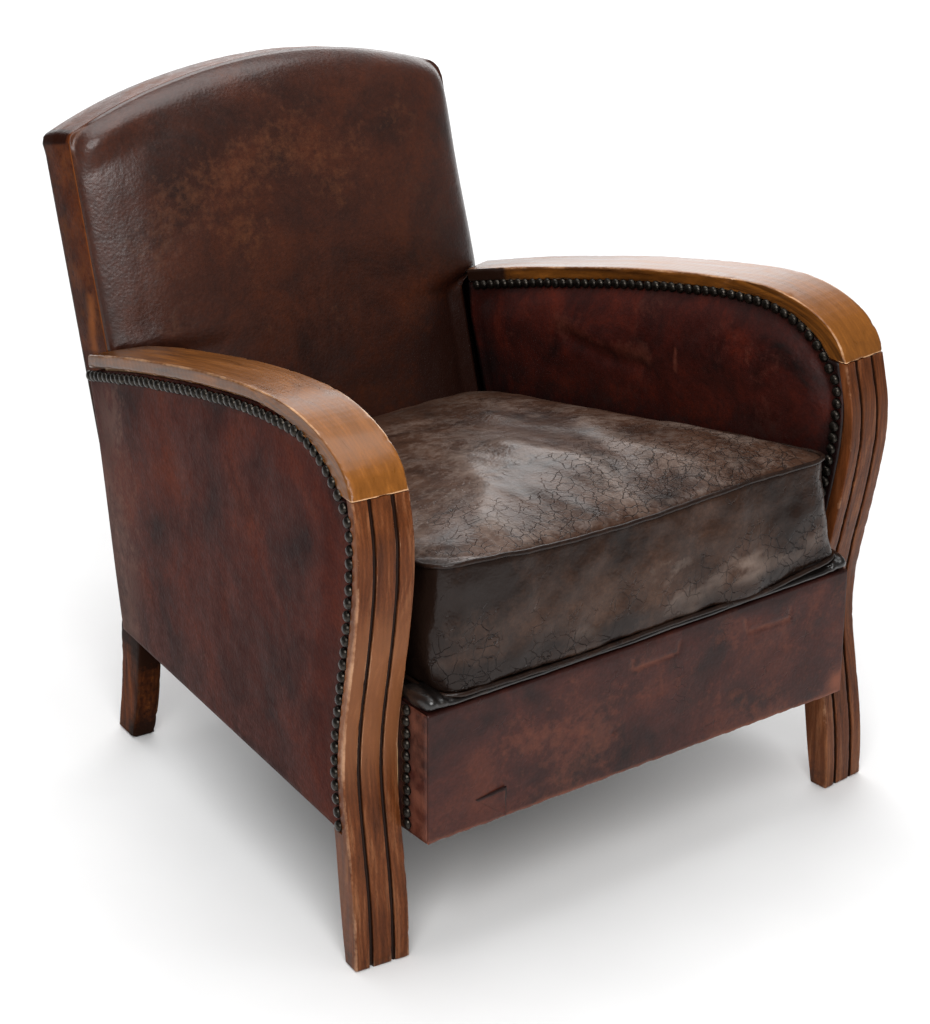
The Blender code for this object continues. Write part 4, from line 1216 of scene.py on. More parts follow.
@dataclass(frozen=True)
class RearLeg:
    """One rear leg, raked below the seat and running up inside the side as an upright."""

    side: Side
    outer: float = 0.0096
    inner: float = 0.0366
    arris: float = 0.0022
    front: tuple = ((0.5515, -LIFT), (0.5365, 0.036), (0.5275, 0.072), (0.519, 0.124))
    rear: tuple = ((0.5893, -LIFT), (0.583, 0.023), (0.5765, 0.050), (0.571, 0.085),
                   (0.5685, 0.124), (0.566, 0.1395))
    upright_front: tuple = ((0.517, 0.1415), (0.563, 0.4249))
    upright_rear: tuple = ((0.5475, 0.1420), (0.600, 0.4249))

    def build(self, finish: Material) -> Piece:
        """Make the piece, its four arrises rounded.

        Args:
            finish: the material of the piece.

        Returns:
            The finished piece.
        """
        front = np.vstack([smooth(self.front, 8), self.upright_front])
        rear = np.vstack([smooth(self.rear, 8), self.upright_rear])
        levels = np.array([-LIFT, -LIFT + 0.001, -LIFT + 0.0025, *np.linspace(0.003, 0.1385, 26),
                           0.1396, 0.1425, 0.20, 0.28, 0.36, 0.4245])
        fore = np.interp(levels, front[:, 1], front[:, 0])
        back = np.interp(levels, rear[:, 1], rear[:, 0])
        sole = np.interp(levels, [-LIFT, -LIFT + 0.0025], [0.0024, 0.0])
        turn = np.linspace(0, math.pi / 2, 4)
        rings, edges = [], []
        for z, a, b, toe in zip(levels, fore + sole, back - sole, sole):
            r, low, high = self.arris, self.outer + toe, self.inner - toe
            centres = ((high - r, a + r, 1, -1), (high - r, b - r, 1, 1),
                       (low + r, b - r, -1, 1), (low + r, a + r, -1, -1))
            ring, edge = [], []
            for i, (off, u, so, su) in enumerate(centres):
                arc = [(off + so * r * math.sin(t), u + su * r * math.cos(t)) for t in turn]
                arc = arc if i % 2 == 0 else arc[::-1]
                ring += arc
                edge += [1.0] * len(arc)
            # Points near each arris keep the rubbed line narrow.
            full, marks = [], []
            for i, point in enumerate(ring):
                full.append(point)
                marks.append(edge[i])
                if i % len(turn) == len(turn) - 1:
                    after = ring[(i + 1) % len(ring)]
                    for share in (0.09, 0.5, 0.91):
                        full.append(tuple(p + (q - p) * share for p, q in zip(point, after)))
                        marks.append(0.0)
            rings.append([(u, off, z) for off, u in full])
            edges.append(marks)
        u, off, z = np.moveaxis(np.array(rings), -1, 0)
        places = side_point(self.side, u, off, z)
        seed = self.side.pick(24.0, 29.0)
        grain = join(z + seed, off, u)
        z = z + LIFT
        wear = np.array(edges) * (0.55 + 0.5 * rumple(places, 0.04, seed)) + 0.35 * fade(0, 0.02, z)
        grime = 0.75 * ease(0.085, 0.135, z) + 0.45 * fade(0.0, 0.04, z)
        grime += 0.55 * fade(0.004, 0.012, u - fore[:, None])
        return wooden(self.side, "rear_leg", "post_wood", finish, places, 0.0014, 0.010, seed,
                      grain=grain, wear=wear, gold=0.0, grime=grime)


# ---- leather of the arms

def arm_edges(low: float, count: int, end: float) -> tuple[Array, Array]:
    """The edges that the leathers on both faces of an arm share.

    Args:
        low: where the front one starts.
        count: how many points it has.
        end: how far back the upper one runs.

    Returns:
        The front edge upwards, and the upper edge to the rear, as u and z.
    """
    z, u = np.linspace(low, LEATHER_TOP, count), np.linspace(0.030, end, 120)
    left = join(post_front(z) + SETBACK, z)
    nose = [[CAP_NOSE[0], LEATHER_TOP]]
    return left, np.vstack([left[-1:], nose, join(u, cap_under(u) - 0.0008)])


@dataclass(frozen=True)
class OuterSide:
    """The leather outside one arm: let into the post, nailed under the cap, wrapped at the rear."""

    side: Side
    off: float = 0.0021
    turned: float = 0.0356
    corner: float = 0.009
    wall: float = 0.0014
    fullness: float = 0.0030
    rear: tuple = ((0.6035, 0.4214), (0.605, 0.413), (0.595, 0.370), (0.582, 0.305),
                   (0.566, 0.215), (0.551, 0.140))
    columns: int = 110
    rows: int = 80

    def build(self, finish: Material) -> Piece:
        """Make the piece as a thick sheet with its folds, rubbed places and a painted sheen near
        the rear edge.

        Args:
            finish: the material of the piece.

        Returns:
            The finished piece.
        """
        left, high = arm_edges(0.140, 60, 0.5935)
        high = np.vstack([high, [self.rear[0]]])
        right = smooth(self.rear[1:], 10)[::-1]
        right = np.vstack([right, [self.rear[0]]])
        pull = np.array([self.corner, 0.0])
        rows, cols = np.linspace(0, 1, self.rows), np.linspace(0, 1, self.columns)
        high = spread(high - pull * np.linspace(0, 1, len(high))[:, None] ** 8, cols)
        right = spread(right, rows)
        low = np.linspace(left[0], right[0] - pull, self.columns)
        patch = coons(low, high, spread(left, rows), right - pull)
        a, b = np.meshgrid(np.linspace(-1, 1, self.columns), np.linspace(-1, 1, self.rows))
        pu, pz = patch[..., 0], patch[..., 1]
        full = ease(0.013, 0.060, cap_under(pu) - pz)
        full *= ease(0.012, 0.060, pu - post_front(pz) - SETBACK)
        full *= (1 - np.clip(a, 0, 1) ** 4) * (1 - np.clip(-b, 0, 1) ** 4)
        places = side_point(self.side, pu, 0.0, pz)
        seed = self.side.pick(33.0, 37.0)
        waves = rumple(places, 0.11, seed) * 0.0016 + rumple(places, 0.03, seed) * 0.0004
        off = self.off - full * (self.fullness + waves)
        turn = np.linspace(0, math.pi / 2, 7)[1:]
        sheet = join(patch[..., 0], off, patch[..., 1])
        arc = join((right[:, :1] - self.corner) + self.corner * np.sin(turn),
                   self.off + self.corner * (1 - np.cos(turn)), right[:, 1:])
        flat = np.linspace(self.off + self.corner, self.turned, 6)[1:]
        back = join(right[:, :1], flat, right[:, 1:])
        sheet = np.concatenate([sheet, arc, back], axis=1)
        hem = sheet[:1].copy()
        hem[..., 1] = np.where(hem[..., 1] < 0.009, 0.0088, hem[..., 1])
        hem[..., 2] -= 0.0007
        edge = sheet[:1].copy()
        edge[..., 1] += 0.0006
        edge[..., 2] -= 0.0006
        sheet = np.concatenate([hem, edge, sheet], axis=0)
        u, z = sheet[..., 0], sheet[..., 2]
        sheet[..., 1] -= np.maximum(lean(self.side, z), 0.0) * fade(0.03, 0.30, u)
        places = side_point(self.side, u, sheet[..., 1], z)
        gap = cap_under(u) - z
        near_post = u - post_front(z) - SETBACK
        rear = sheet[..., 1] > self.off + 0.0005
        # Painted sheen: a pale band just in front of the rear edge, strong on the left side and
        # faint on the right, laid through the wear values.
        worn = self.side.pick(0.40, 0.12)
        wear = worn * (ease(0.44, 0.54, u) - 0.8 * np.maximum(rear, ease(0.565, 0.60, u)))
        wear += 0.08 * fade(0.15, 0.24, z)
        wear += 0.3 * worn * spot(join(u, z), (0.33, 0.20), 0.06)
        wear += 0.18 * rumple(places, 0.08, seed + 2)
        grime = 0.55 * fade(0.0, 0.022, gap) + 0.5 * fade(0.0, 0.02, near_post)
        grime += 0.3 * fade(0.14, 0.155, z)
        if self.side is Side.LEFT:
            torn = spot(join(u, z), (0.560, 0.146), 0.012)
            wear += 0.9 * torn
            grime += 0.35 * ease(0.0, 0.5, rumple(places, 0.1, 5.0))
        piece = hide(f"outer_leather_{self.side.word}", places, (-self.side.value * 9, 0, 0.3),
                     self.wall, wear, grime)
        return dress(piece, finish, "outer_leather", f"outer_panel_{self.side.word}",
                     f"outer_wadding_{self.side.word}", fill=0.9)


@dataclass(frozen=True)
class InnerSide:
    """The padded leather inside one arm."""

    side: Side
    off: float = 0.0585
    wall: float = 0.0014
    bulge: tuple = ((1.0, 0.0), (0.955, 0.0), (0.90, 0.0045), (0.80, 0.0115), (0.62, 0.0170),
                    (0.40, 0.0195))
    rear: tuple = ((0.5185, 0.2400), (0.5630, 0.400), (0.5665, 0.4370))
    columns: int = 120
    rows: int = 60

    def build(self, finish: Material) -> Piece:
        """Make the piece with its pull lines and dents.

        Args:
            finish: the material of the piece.

        Returns:
            The finished piece.
        """
        left, high = arm_edges(0.2787, 40, 0.5665)
        right = np.vstack([self.rear[:-1], high[-1:]])
        rows, cols = np.linspace(0, 1, self.rows), np.linspace(0, 1, self.columns)
        low = np.linspace(left[0], right[0], self.columns)
        patch = coons(low, spread(high, cols), spread(left, rows), spread(right, rows))
        a, b = np.meshgrid(np.linspace(-1, 1, self.columns), np.linspace(-1, 1, self.rows))
        height = dome(self.bulge, a, b)
        places = side_point(self.side, patch[..., 0], self.off, patch[..., 1])
        seed = self.side.pick(43.0, 47.0)
        inside = ease(0.0, 0.006, height)
        height += inside * (0.0016 * rumple(places, 0.09, seed)
                            + 0.0004 * rumple(places, 0.025, seed))
        flat = patch[..., :2]
        pulls = [((0.05 + 0.04 * i, 0.505), (0.07 + 0.045 * i, 0.47)) for i in range(4)]
        for line in pulls:
            height -= 0.0006 * stroke(flat, line, 0.006)
        wear = 0.12 + 0.2 * rumple(places, 0.06, seed + 1)
        grime = 0.5 * fade(0.0, 0.03, cap_under(flat[..., 0]) - flat[..., 1])
        grime += 0.55 * fade(0.0, 0.03, flat[..., 0] - post_front(flat[..., 1]) - SETBACK)
        grime += 0.6 * fade(0.0, 0.06, flat[..., 1] - 0.40 + 0.12 * flat[..., 0])
        if self.side is Side.RIGHT:
            dent = stroke(flat, ((0.387, 0.428), (0.33, 0.421), (0.27, 0.425)), 0.010)
            roll = stroke(flat, ((0.40, 0.441), (0.33, 0.434), (0.26, 0.438)), 0.009)
            height -= 0.0034 * dent - 0.0012 * roll
            wear += 0.28 * roll + 0.7 * stroke(flat, ((0.219, 0.434), (0.2195, 0.457)), 0.0016)
            wear += 0.5 * stroke(flat, ((0.120, 0.470), (0.1205, 0.482)), 0.0016)
        end = join(patch[:, -1, 0], self.off + height[:, -1], patch[:, -1, 1])[:, None]
        turned = np.array([(0.0015, 0.0535, 0.0), (0.0040, 0.0400, 0.0), (0.0400, 0.0382, 0.0)])
        turned = end * (1, 0, 1) + turned[None]
        sheet = join(patch[..., 0], self.off + height, patch[..., 1])
        sheet = np.concatenate([sheet, turned], axis=1)
        wear, grime = [np.pad(values, ((0, 0), (0, 3)), "edge") for values in (wear, grime)]
        grime[:, -4:] += 0.6
        places = side_point(self.side, sheet[..., 0], sheet[..., 1], sheet[..., 2])
        piece = hide(f"inner_leather_{self.side.word}", places, (self.side.value * 9, 0, 0.3),
                     self.wall, wear, grime)
        return dress(piece, finish, "inner_leather", f"inner_panel_{self.side.word}",
                     f"arm_stuffing_{self.side.word}", fill=0.85)


@dataclass(frozen=True)
class NailRows:
    """The rows of domed bronze nails round the sides and on the ends of the apron."""

    outer_pitch: tuple = (0.0105, 0.0131, 0.0140)
    inner_pitch: tuple = (0.0118, 0.0122, 0.0128)
    radius: float = 0.0059
    height: float = 0.0050
    tilt: float = 0.10
    uneven: float = 0.045

    def line(self, low: float, rear: float, inset: float, setback: float) -> Array:
        """The line of a row: forwards under the cap, round the front and down the post.

        Args:
            low: where the row starts.
            rear: where it ends.
            inset: below the cap.
            setback: behind the post.

        Returns:
            The path of the row.
        """
        u = np.linspace(rear, 0.056, 90)
        path = join(u, cap_under(u))
        run = np.gradient(path, axis=0)
        run /= np.linalg.norm(run, axis=1)[:, None]
        clear = 0.0035 + (inset - 0.0035) * ease(0.09, 0.17, u)
        path = path + join(-run[:, 1], run[:, 0]) * clear[:, None]
        z = np.linspace(0.474, low, 60)
        down = join(post_front(z) + setback - 0.003 * ease(0.42, 0.474, z), z)
        more = setback - 0.0158
        bend = ((0.0400, 0.5075), (0.0272 + 0.5 * more, 0.4975), (0.0175 + more, 0.4875))
        return np.vstack([path, bend, down])

    def row(self, path: Array, pitch: tuple) -> Array:
        """Places along a path, with the pitch given at its rear, under the cap and on the post.

        Args:
            path: the path of the row.
            pitch: from nail to nail.

        Returns:
            One point for each nail.
        """
        shares = np.linspace(0, 1, 600)
        length = np.linalg.norm(np.diff(path, axis=0), axis=1).sum()
        count = np.concatenate([[0.0], np.cumsum(length / 599 / np.interp(
            shares[1:], (0.0, 0.1, 0.58, 0.7), (*pitch[:2], *pitch[1:])))])
        whole = int(round(count[-1]))
        return spread(path, np.interp(np.linspace(0, count[-1], whole + 1), count, shares))

    def build(self, finish: Material) -> list[Piece]:
        """Make the six rows.

        Args:
            finish: the material of the piece.

        Returns:
            The rows of nails.
        """
        tree = scatter_tree()
        shape = stud("nail_head", self.radius, self.height)
        shape.data.materials.append(finish)
        made = []
        for side in Side:
            for face, low, rear, off, sense, inset, setback, pitch in (
                    ("outer", 0.147, 0.596, 0.0012, -1, 0.0088, 0.0158, self.outer_pitch),
                    ("inner", 0.300, 0.552, 0.0590, 1, 0.0035, 0.0205, self.inner_pitch)):
                spots = self.row(self.line(low, rear, inset, setback), pitch)
                if side is Side.RIGHT:
                    spots[:, 1] += 0.0035 * np.exp(-((spots[:, 0] - 0.095) / 0.06) ** 2)
                spots = spots + np.stack([rumple(np.pad(spots, ((0, 0), (0, 1))), 0.03, 50.0 + k)
                                          for k in range(2)], 1) * 0.0007
                out = lean(side, spots[:, 1]) * fade(0.04, 0.10, spots[:, 0]) * (sense < 0)
                places = side_point(side, spots[:, 0], off - out, spots[:, 1])
                facing = side_point(side, spots[:, 0], off - out + sense, spots[:, 1]) - places
                name = f"{face}_nails_{side.word}"
                piece = scatter(tree, name + "_bronze", places, facing, shape, finish, self.tilt,
                                self.uneven, 11 + len(made))
                made.append(dress(piece, finish, "nail_bronze", name))
            spots = np.linspace(0.145, 0.268, 11)
            places = seat_point(-side.value * 0.2680, 0.004 + 0.0008 * np.sin(spots * 300), spots)
            facing = np.broadcast_to([-float(side.value), 0.0, 0.0], places.shape)
            name = f"apron_nails_{side.word}"
            piece = scatter(tree, name + "_bronze", places, facing, shape, finish, self.tilt,
                            self.uneven, 31 + len(made))
            made.append(dress(piece, finish, "nail_bronze", name))
        bpy.data.objects.remove(shape)
        return made


# ---- seat

@dataclass(frozen=True)
class Cushion:
    """The loose seat cushion: a crowned top, a boxing and a bottom, sewn with welts."""

    front: float = CUSHION_FRONT
    rear_low: float = 0.4955
    rear_high: float = 0.5165
    half: float = 0.2475
    corner: float = 0.030
    crown: tuple = ((1.0, 0.0), (0.975, 0.0065), (0.93, 0.0120), (0.80, 0.0195), (0.55, 0.0250),
                    (0.25, 0.0275))
    columns: int = 74
    rows: int = 78
    bands: int = 16
    pressure: float = 4.0
    frames: int = 20
    reach: float = 0.012
    folds: tuple = (((-0.16, 0.02), (-0.10, 0.10), (-0.06, 0.20)),
                    ((0.0, 0.01), (0.02, 0.09), (0.0, 0.2)),
                    ((0.10, 0.02), (0.08, 0.12), (0.11, 0.22)), ((-0.22, 0.06), (-0.19, 0.16)),
                    ((0.19, 0.05), (0.17, 0.15)))
    # Painted highlights on the front boxing: across, height and size of each patch.
    gleams: tuple = ((0.05, 0.302, 0.040), (0.13, 0.318, 0.045), (0.205, 0.322, 0.035),
                     (-0.08, 0.296, 0.035), (-0.15, 0.285, 0.025), (0.03, 0.345, 0.030))
    frays: tuple = ((0.252, 0.300, 0.016), (-0.252, 0.312, 0.012))

    def plan(self, rear: float) -> tuple[Array, Array]:
        """The cushion's plan at one level, as a grid with rounded corners.

        Args:
            rear: the y of its rear edge.

        Returns:
            The grid's x and y by row and column.
        """
        a, b = np.meshgrid(np.linspace(-1, 1, self.columns), np.linspace(-1, 1, self.rows))
        deep = (rear - self.front) / 2
        mid_y, r = (rear + self.front) / 2, self.corner
        x, y = a * self.half, b * deep
        p = np.clip((np.abs(x) - (self.half - r)) / r, 0, 1)
        q = np.clip((np.abs(y) - (deep - r)) / r, 0, 1)
        p, q = p * np.sqrt(1 - q * q / 2), q * np.sqrt(1 - p * p / 2)
        x = np.where(p > 0, np.sign(x) * (self.half - r + r * p), x)
        y = np.where(q > 0, np.sign(y) * (deep - r + r * q), y)
        y = y + mid_y
        return x * (self.half - math.tan(SPLAY) * y) / self.half, y

    def upper_seam(self, x: Array, y: Array) -> Array:
        """The level of the upper seam, sagging between the full corners.

        Args:
            x: across the seat.
            y: into the seat.

        Returns:
            The height of the upper seam.
        """
        front = fade(0.0, 0.16, y - self.front)
        side = np.abs(x) / self.half
        corner = np.where(x < 0, 0.0065, -0.0035)
        level = 0.4075 - 0.172 * y + corner * front * ease(0.45, 0.95, side)
        return level - 0.0075 * front * np.exp(-((x + 0.02) / 0.15) ** 2)

    def lower_seam(self, x: Array, y: Array) -> Array:
        """The level of the lower seam, lifting off the lip between the corners."""
        rise = -0.0036 + 0.0015 * np.sin(x * 21 + 0.6) + 0.0135 * ease(0.12, 0.25, x)
        return deck_z(y) + 0.0042 + fade(0.0, 0.10, y - self.front) * rise

    def slump(self, x: Array, y: Array, low: Array) -> tuple[Array, Array]:
        """Push the lower front forwards over the lip, and its right corner out.

        Args:
            x: places across.
            y: places from front to rear.
            low: how near the lower seam they lie, from 0 to 1.

        Returns:
            The new x and y.
        """
        ahead = fade(0.0, 0.06, y - self.front)
        return x + 0.016 * ahead * low ** 1.5 * ease(0.19, 0.25, x), y - 0.0085 * ahead * low

    def rim(self, grid: Array) -> Array:
        """The closed run of a grid's border points, starting at the front left corner."""
        return np.concatenate([grid[0, :-1], grid[:-1, -1], grid[-1, :0:-1], grid[:0:-1, 0]])

    def build(self, finish: Material) -> Piece:
        """Sew the cover, blow it up against its seams, then work its folds and cracks in.

        Args:
            finish: the material of the piece.

        Returns:
            The finished piece.
        """
        a, b = np.meshgrid(np.linspace(-1, 1, self.columns), np.linspace(-1, 1, self.rows))
        x, y = self.plan(self.rear_high)
        seam = self.upper_seam(x, y)
        crown = dome(self.crown, a, b, 7.0)
        top = join(x, y, seam + crown)
        xl, yl = self.plan(self.rear_low)
        base = join(xl, yl, deck_z(yl) + 0.0006 + 0.0036 * ease(0.93, 1.0, np.maximum(
            np.abs(a), np.abs(b))))
        edge_low = join(self.rim(xl), self.rim(yl))
        edge_high = join(self.rim(x), self.rim(y))
        z_low, z_high = self.lower_seam(*edge_low.T), self.upper_seam(*edge_high.T)
        steps = np.linspace(0, 1, self.bands + 1)[:, None]
        middle = np.array([0.0, (self.front + self.rear_high) / 2])
        puff = 0.0052 * np.sin(math.pi * steps) ** 0.7
        flat = edge_low[None] * (1 - steps[..., None]) + edge_high[None] * steps[..., None]
        away = flat - middle
        flat = flat + away / np.linalg.norm(away, axis=-1, keepdims=True) * puff[..., None]
        flat = np.stack(self.slump(flat[..., 0], flat[..., 1], (1 - steps) ** 2), -1)
        band = np.dstack([flat, z_low[None] * (1 - steps) + z_high[None] * steps])
        ring, hold = np.zeros(band.shape[:2]), np.ones(a.shape)
        ring[[0, -1]] = 1.0
        hold[1:-1, 1:-1] = 0.0
        border = hold > 0
        base[border, 2] = self.lower_seam(xl[border], yl[border])
        base[..., 0], base[..., 1] = self.slump(xl, yl, np.ones_like(xl))
        shell = Shell()
        shell.grid(seat_point(*np.moveaxis(top, -1, 0)), hold=hold, top=1.0 - 0.5 * hold)
        shell.grid(seat_point(*np.moveaxis(band, -1, 0)), wrap=True, hold=ring,
                   top=np.repeat(steps, band.shape[1], 1) ** 8 * 0.5)
        shell.grid(seat_point(*np.moveaxis(base, -1, 0)), hold=1.0, top=0.0)
        piece = shell.object("seat_cushion_cover", 0.0004)
        self.inflate(piece)
        smoother = piece.modifiers.new("rounder", "SUBSURF")
        smoother.levels = smoother.render_levels = 1
        settle(piece)
        self.work(piece)
        piece.data.shade_smooth()
        return dress(piece, finish, "cushion_leather", "seat_cushion", fill=0.8)

    def inflate(self, piece: Piece) -> None:
        """Let a cloth simulation puff the cover out, held at its seams and kept within reach.

        Args:
            piece: the sewn cover.
        """
        start = coordinates(piece)
        held = piece.vertex_groups.new(name="seams")
        held.add([int(i) for i in np.flatnonzero(field(piece, "hold") > 0.5)], 1.0, "REPLACE")
        cloth = piece.modifiers.new("stuffing", "CLOTH")
        cloth.settings.vertex_group_mass = "seams"
        cloth.settings.use_pressure = True
        cloth.settings.uniform_pressure_force = self.pressure
        cloth.settings.effector_weights.gravity = 0.0
        cloth.settings.quality = 6
        cloth.settings.tension_stiffness = cloth.settings.compression_stiffness = 20.0
        cloth.settings.bending_stiffness = 4.0
        cloth.point_cache.frame_start = 1
        cloth.point_cache.frame_end = self.frames
        scene = bpy.context.scene
        for frame in range(1, self.frames + 1):
            scene.frame_set(frame)
            view = bpy.context.evaluated_depsgraph_get()
            view.update()
        blown = bpy.data.meshes.new_from_object(piece.evaluated_get(view), depsgraph=view)
        flat = np.empty(len(blown.vertices) * 3, np.float32)
        blown.vertices.foreach_get("co", flat)
        bpy.data.meshes.remove(blown)
        piece.modifiers.clear()
        piece.vertex_groups.clear()
        scene.frame_set(1)
        moved = flat.reshape(-1, 3) - start
        length = np.linalg.norm(moved, axis=1, keepdims=True)
        capped = moved * np.minimum(1.0, self.reach / np.maximum(length, 1e-9))
        LOG.info("cushion: cover moved by up to %.1f mm", 1000 * float(length.max()))
        piece.data.vertices.foreach_set("co", (start + capped).astype(np.float32).ravel())
        piece.data.update()

    def work(self, piece: Piece) -> None:
        """Add soft ridges and hollows, and say where the glaze is cracked, rubbed and dirty, and
        where sheen and shade are painted on.

        Args:
            piece: the inflated cushion.
        """
        places = coordinates(piece)
        x, y, z = places[:, 0], places[:, 1] - FRONT_Y, places[:, 2] - LIFT
        seam = self.upper_seam(x, y)
        top = ease(-0.004, 0.006, z - seam)
        flat = join(x, y)
        ridge = sum(stroke(flat, line, 0.016) for line in self.folds)
        long = join(x, 0.35 * y, 0.0)
        lift = top * (0.0022 * ridge + 0.0034 * rumple(long, 0.09, 61) + 0.0012 * rumple(
            long, 0.028, 62))
        side = 1 - top
        lift += side * (0.0036 * rumple(places, 0.06, 63)
                        + 0.0013 * rumple(places, 0.025, 64))
        swell(piece, lift)
        front = fade(0.05, 0.26, y)
        low = fade(0.35, 0.75, (z - 0.29) / 0.12) * side
        face = fade(0.0, 0.03, y - self.front)
        fore = fade(0.0, 0.16, y - 0.4 * x)
        crack = top * (0.04 + 0.22 * front + 0.36 * fore) + face * side * (0.10 + 0.20 * low)
        corner = ease(0.60, 1.0, np.abs(x) / self.half)
        crack += 0.20 * corner * face + 0.16 * rumple(places, 0.08, 65)
        edge = np.exp(-((z - seam) / 0.006) ** 2)
        # The top carries a painted sheen that makes it lighter than the boxing; the ridges and the
        # upper seam are rubbed.
        wear = 0.25 * top + 0.20 * ridge * top + 0.08 * edge + 0.16 * rumple(places, 0.05, 66)
        # Painted highlights: pale streaky patches on the front boxing, laid through the wear
        # values.
        painted_highlight = sum(spot(join(x, 1.8 * z), (across, 1.8 * level), size)
                    for across, level, size in self.gleams)
        streaky = rumple(join(x, 0.0, 2.2 * z), 0.030, 67, 4)
        wear += face * side * painted_highlight * (0.42 + 0.45 * streaky)
        wear += 0.75 * face * sum(spot(join(x, z), at, size) for *at, size in self.frays)
        # Painted shade: the boxing is darker than the top, more at both ends and most at the left
        # end; the noise is dirt, and the top darkens towards the rear.
        grime = 0.30 * side * (1 - low) * face + 0.35 * (1 - ease(0.0, 0.02, z - 0.30) * face)
        grime += side * (0.10 + 0.55 * fade(-0.23, -0.08, x) + 0.25 * ease(0.10, 0.24, x)
                         + 0.10) + 0.35 * rumple(places, 0.06, 68)
        stain = 0.30 * rumple(join(x, 0.4 * y, z), 0.06, 69)
        grime = np.where(top > 0.5, 0.05 + stain + 0.3 * ease(0.30, 0.5, y), grime)
        for name, values in (("crack", crack), ("wear", wear), ("grime", grime)):
            layer = piece.data.attributes.new(name, "FLOAT", "POINT")
            layer.data.foreach_set("value", values.astype(np.float32))

    def seams(self) -> tuple[Array, Array]:
        """The closed lines that the two welts follow.

        Returns:
            The upper and the lower seam.
        """
        x, y = self.plan(self.rear_high)
        x, y = self.rim(x), self.rim(y)
        high = join(x, y, self.upper_seam(x, y))
        x, y = self.plan(self.rear_low)
        x, y = self.rim(x), self.rim(y)
        z = self.lower_seam(x, y)
        x, y = self.slump(x, y, np.ones_like(x))
        return high, join(x, y, z)


def tube(shell: Shell, line: Array, radius: Array | float, sides: int = 10, closed: bool = False,
         **fields: float) -> None:
    """Add a round cord along a line, with closed ends where it has any.

    Args:
        shell: where the faces go.
        line: the middle of the tube.
        radius: of the tube.
        sides: around it.
        closed: whether its ends meet.
        fields: its wear.
    """
    line = np.asarray(line, float)
    ahead = np.roll(line, -1, 0) - np.roll(line, 1, 0)
    if not closed:
        ahead[0], ahead[-1] = line[1] - line[0], line[-1] - line[-2]
    ahead /= np.linalg.norm(ahead, axis=1)[:, None]
    across = np.cross(ahead, (0.0, 0.0, 1.0) if abs(ahead[:, 2]).max() < 0.9 else (1.0, 0.0, 0.0))
    across /= np.linalg.norm(across, axis=1)[:, None]
    up = np.cross(across, ahead)
    turn = np.linspace(0, 2 * math.pi, sides, endpoint=False)[None, :, None]
    radius = np.broadcast_to(radius, len(line))[:, None, None]
    rings = line[:, None] + radius * (np.cos(turn) * across[:, None] + np.sin(turn) * up[:, None])
    if closed:
        rings = np.concatenate([rings, rings[:1]])
    values = {key: np.broadcast_to(np.reshape(value, (-1, 1)) if np.ndim(value) else value,
                                   (len(line), sides)) for key, value in fields.items()}
    if closed:
        values = {key: np.concatenate([value, value[:1]]) for key, value in values.items()}
        shell.grid(rings, wrap=True, **values)
    else:
        loft(shell, rings, **values)


@dataclass(frozen=True)
class Welts:
    """The leather welts sewn into both seams of the cushion, worn through to the cord in specks."""

    cushion: Cushion
    radius: float = 0.0025
    per_metre: int = 420

    def build(self, finish: Material) -> list[Piece]:
        """Make the two welts.

        Args:
            finish: their material.

        Returns:
            The dressed pieces.
        """
        made = []
        for name, line, seed in zip(("upper", "lower"), self.cushion.seams(), (71, 72)):
            line = np.vstack([line, line[:1]])
            length = np.linalg.norm(np.diff(line, axis=0), axis=1).sum()
            line = spread(line, np.linspace(0, 1, int(length * self.per_metre)))[:-1]
            middle = np.array([0.0, 0.24, 0.0])
            away = (line - middle) * (1, 1, 0)
            line = line + away / np.linalg.norm(away, axis=1)[:, None] * 0.0012
            wob = rumple(line, 0.02, seed)
            line = line + join(0.0, 0.0, 0.0007 * wob)
            thick = self.radius * (1 + 0.08 * rumple(line, 0.006, seed + 3))
            face = fade(0.0, 0.03, line[:, 1] - self.cushion.front)
            wear = 0.05 + 0.30 * ease(0.2, 0.8, rumple(line, 0.008, seed + 4)) + 0.08 * face
            shell = Shell()
            # The welts are darkened all along: partly dirt, partly painted shade along the seam
            # lines.
            tube(shell, seat_point(*line.T), thick, 10, True,
                 wear=wear, grime=0.75, crack=0.2)
            piece = shell.object(f"cushion_{name}_piping")
            made.append(dress(piece, finish, "cushion_leather", f"cushion_{name}_welt"))
        return made


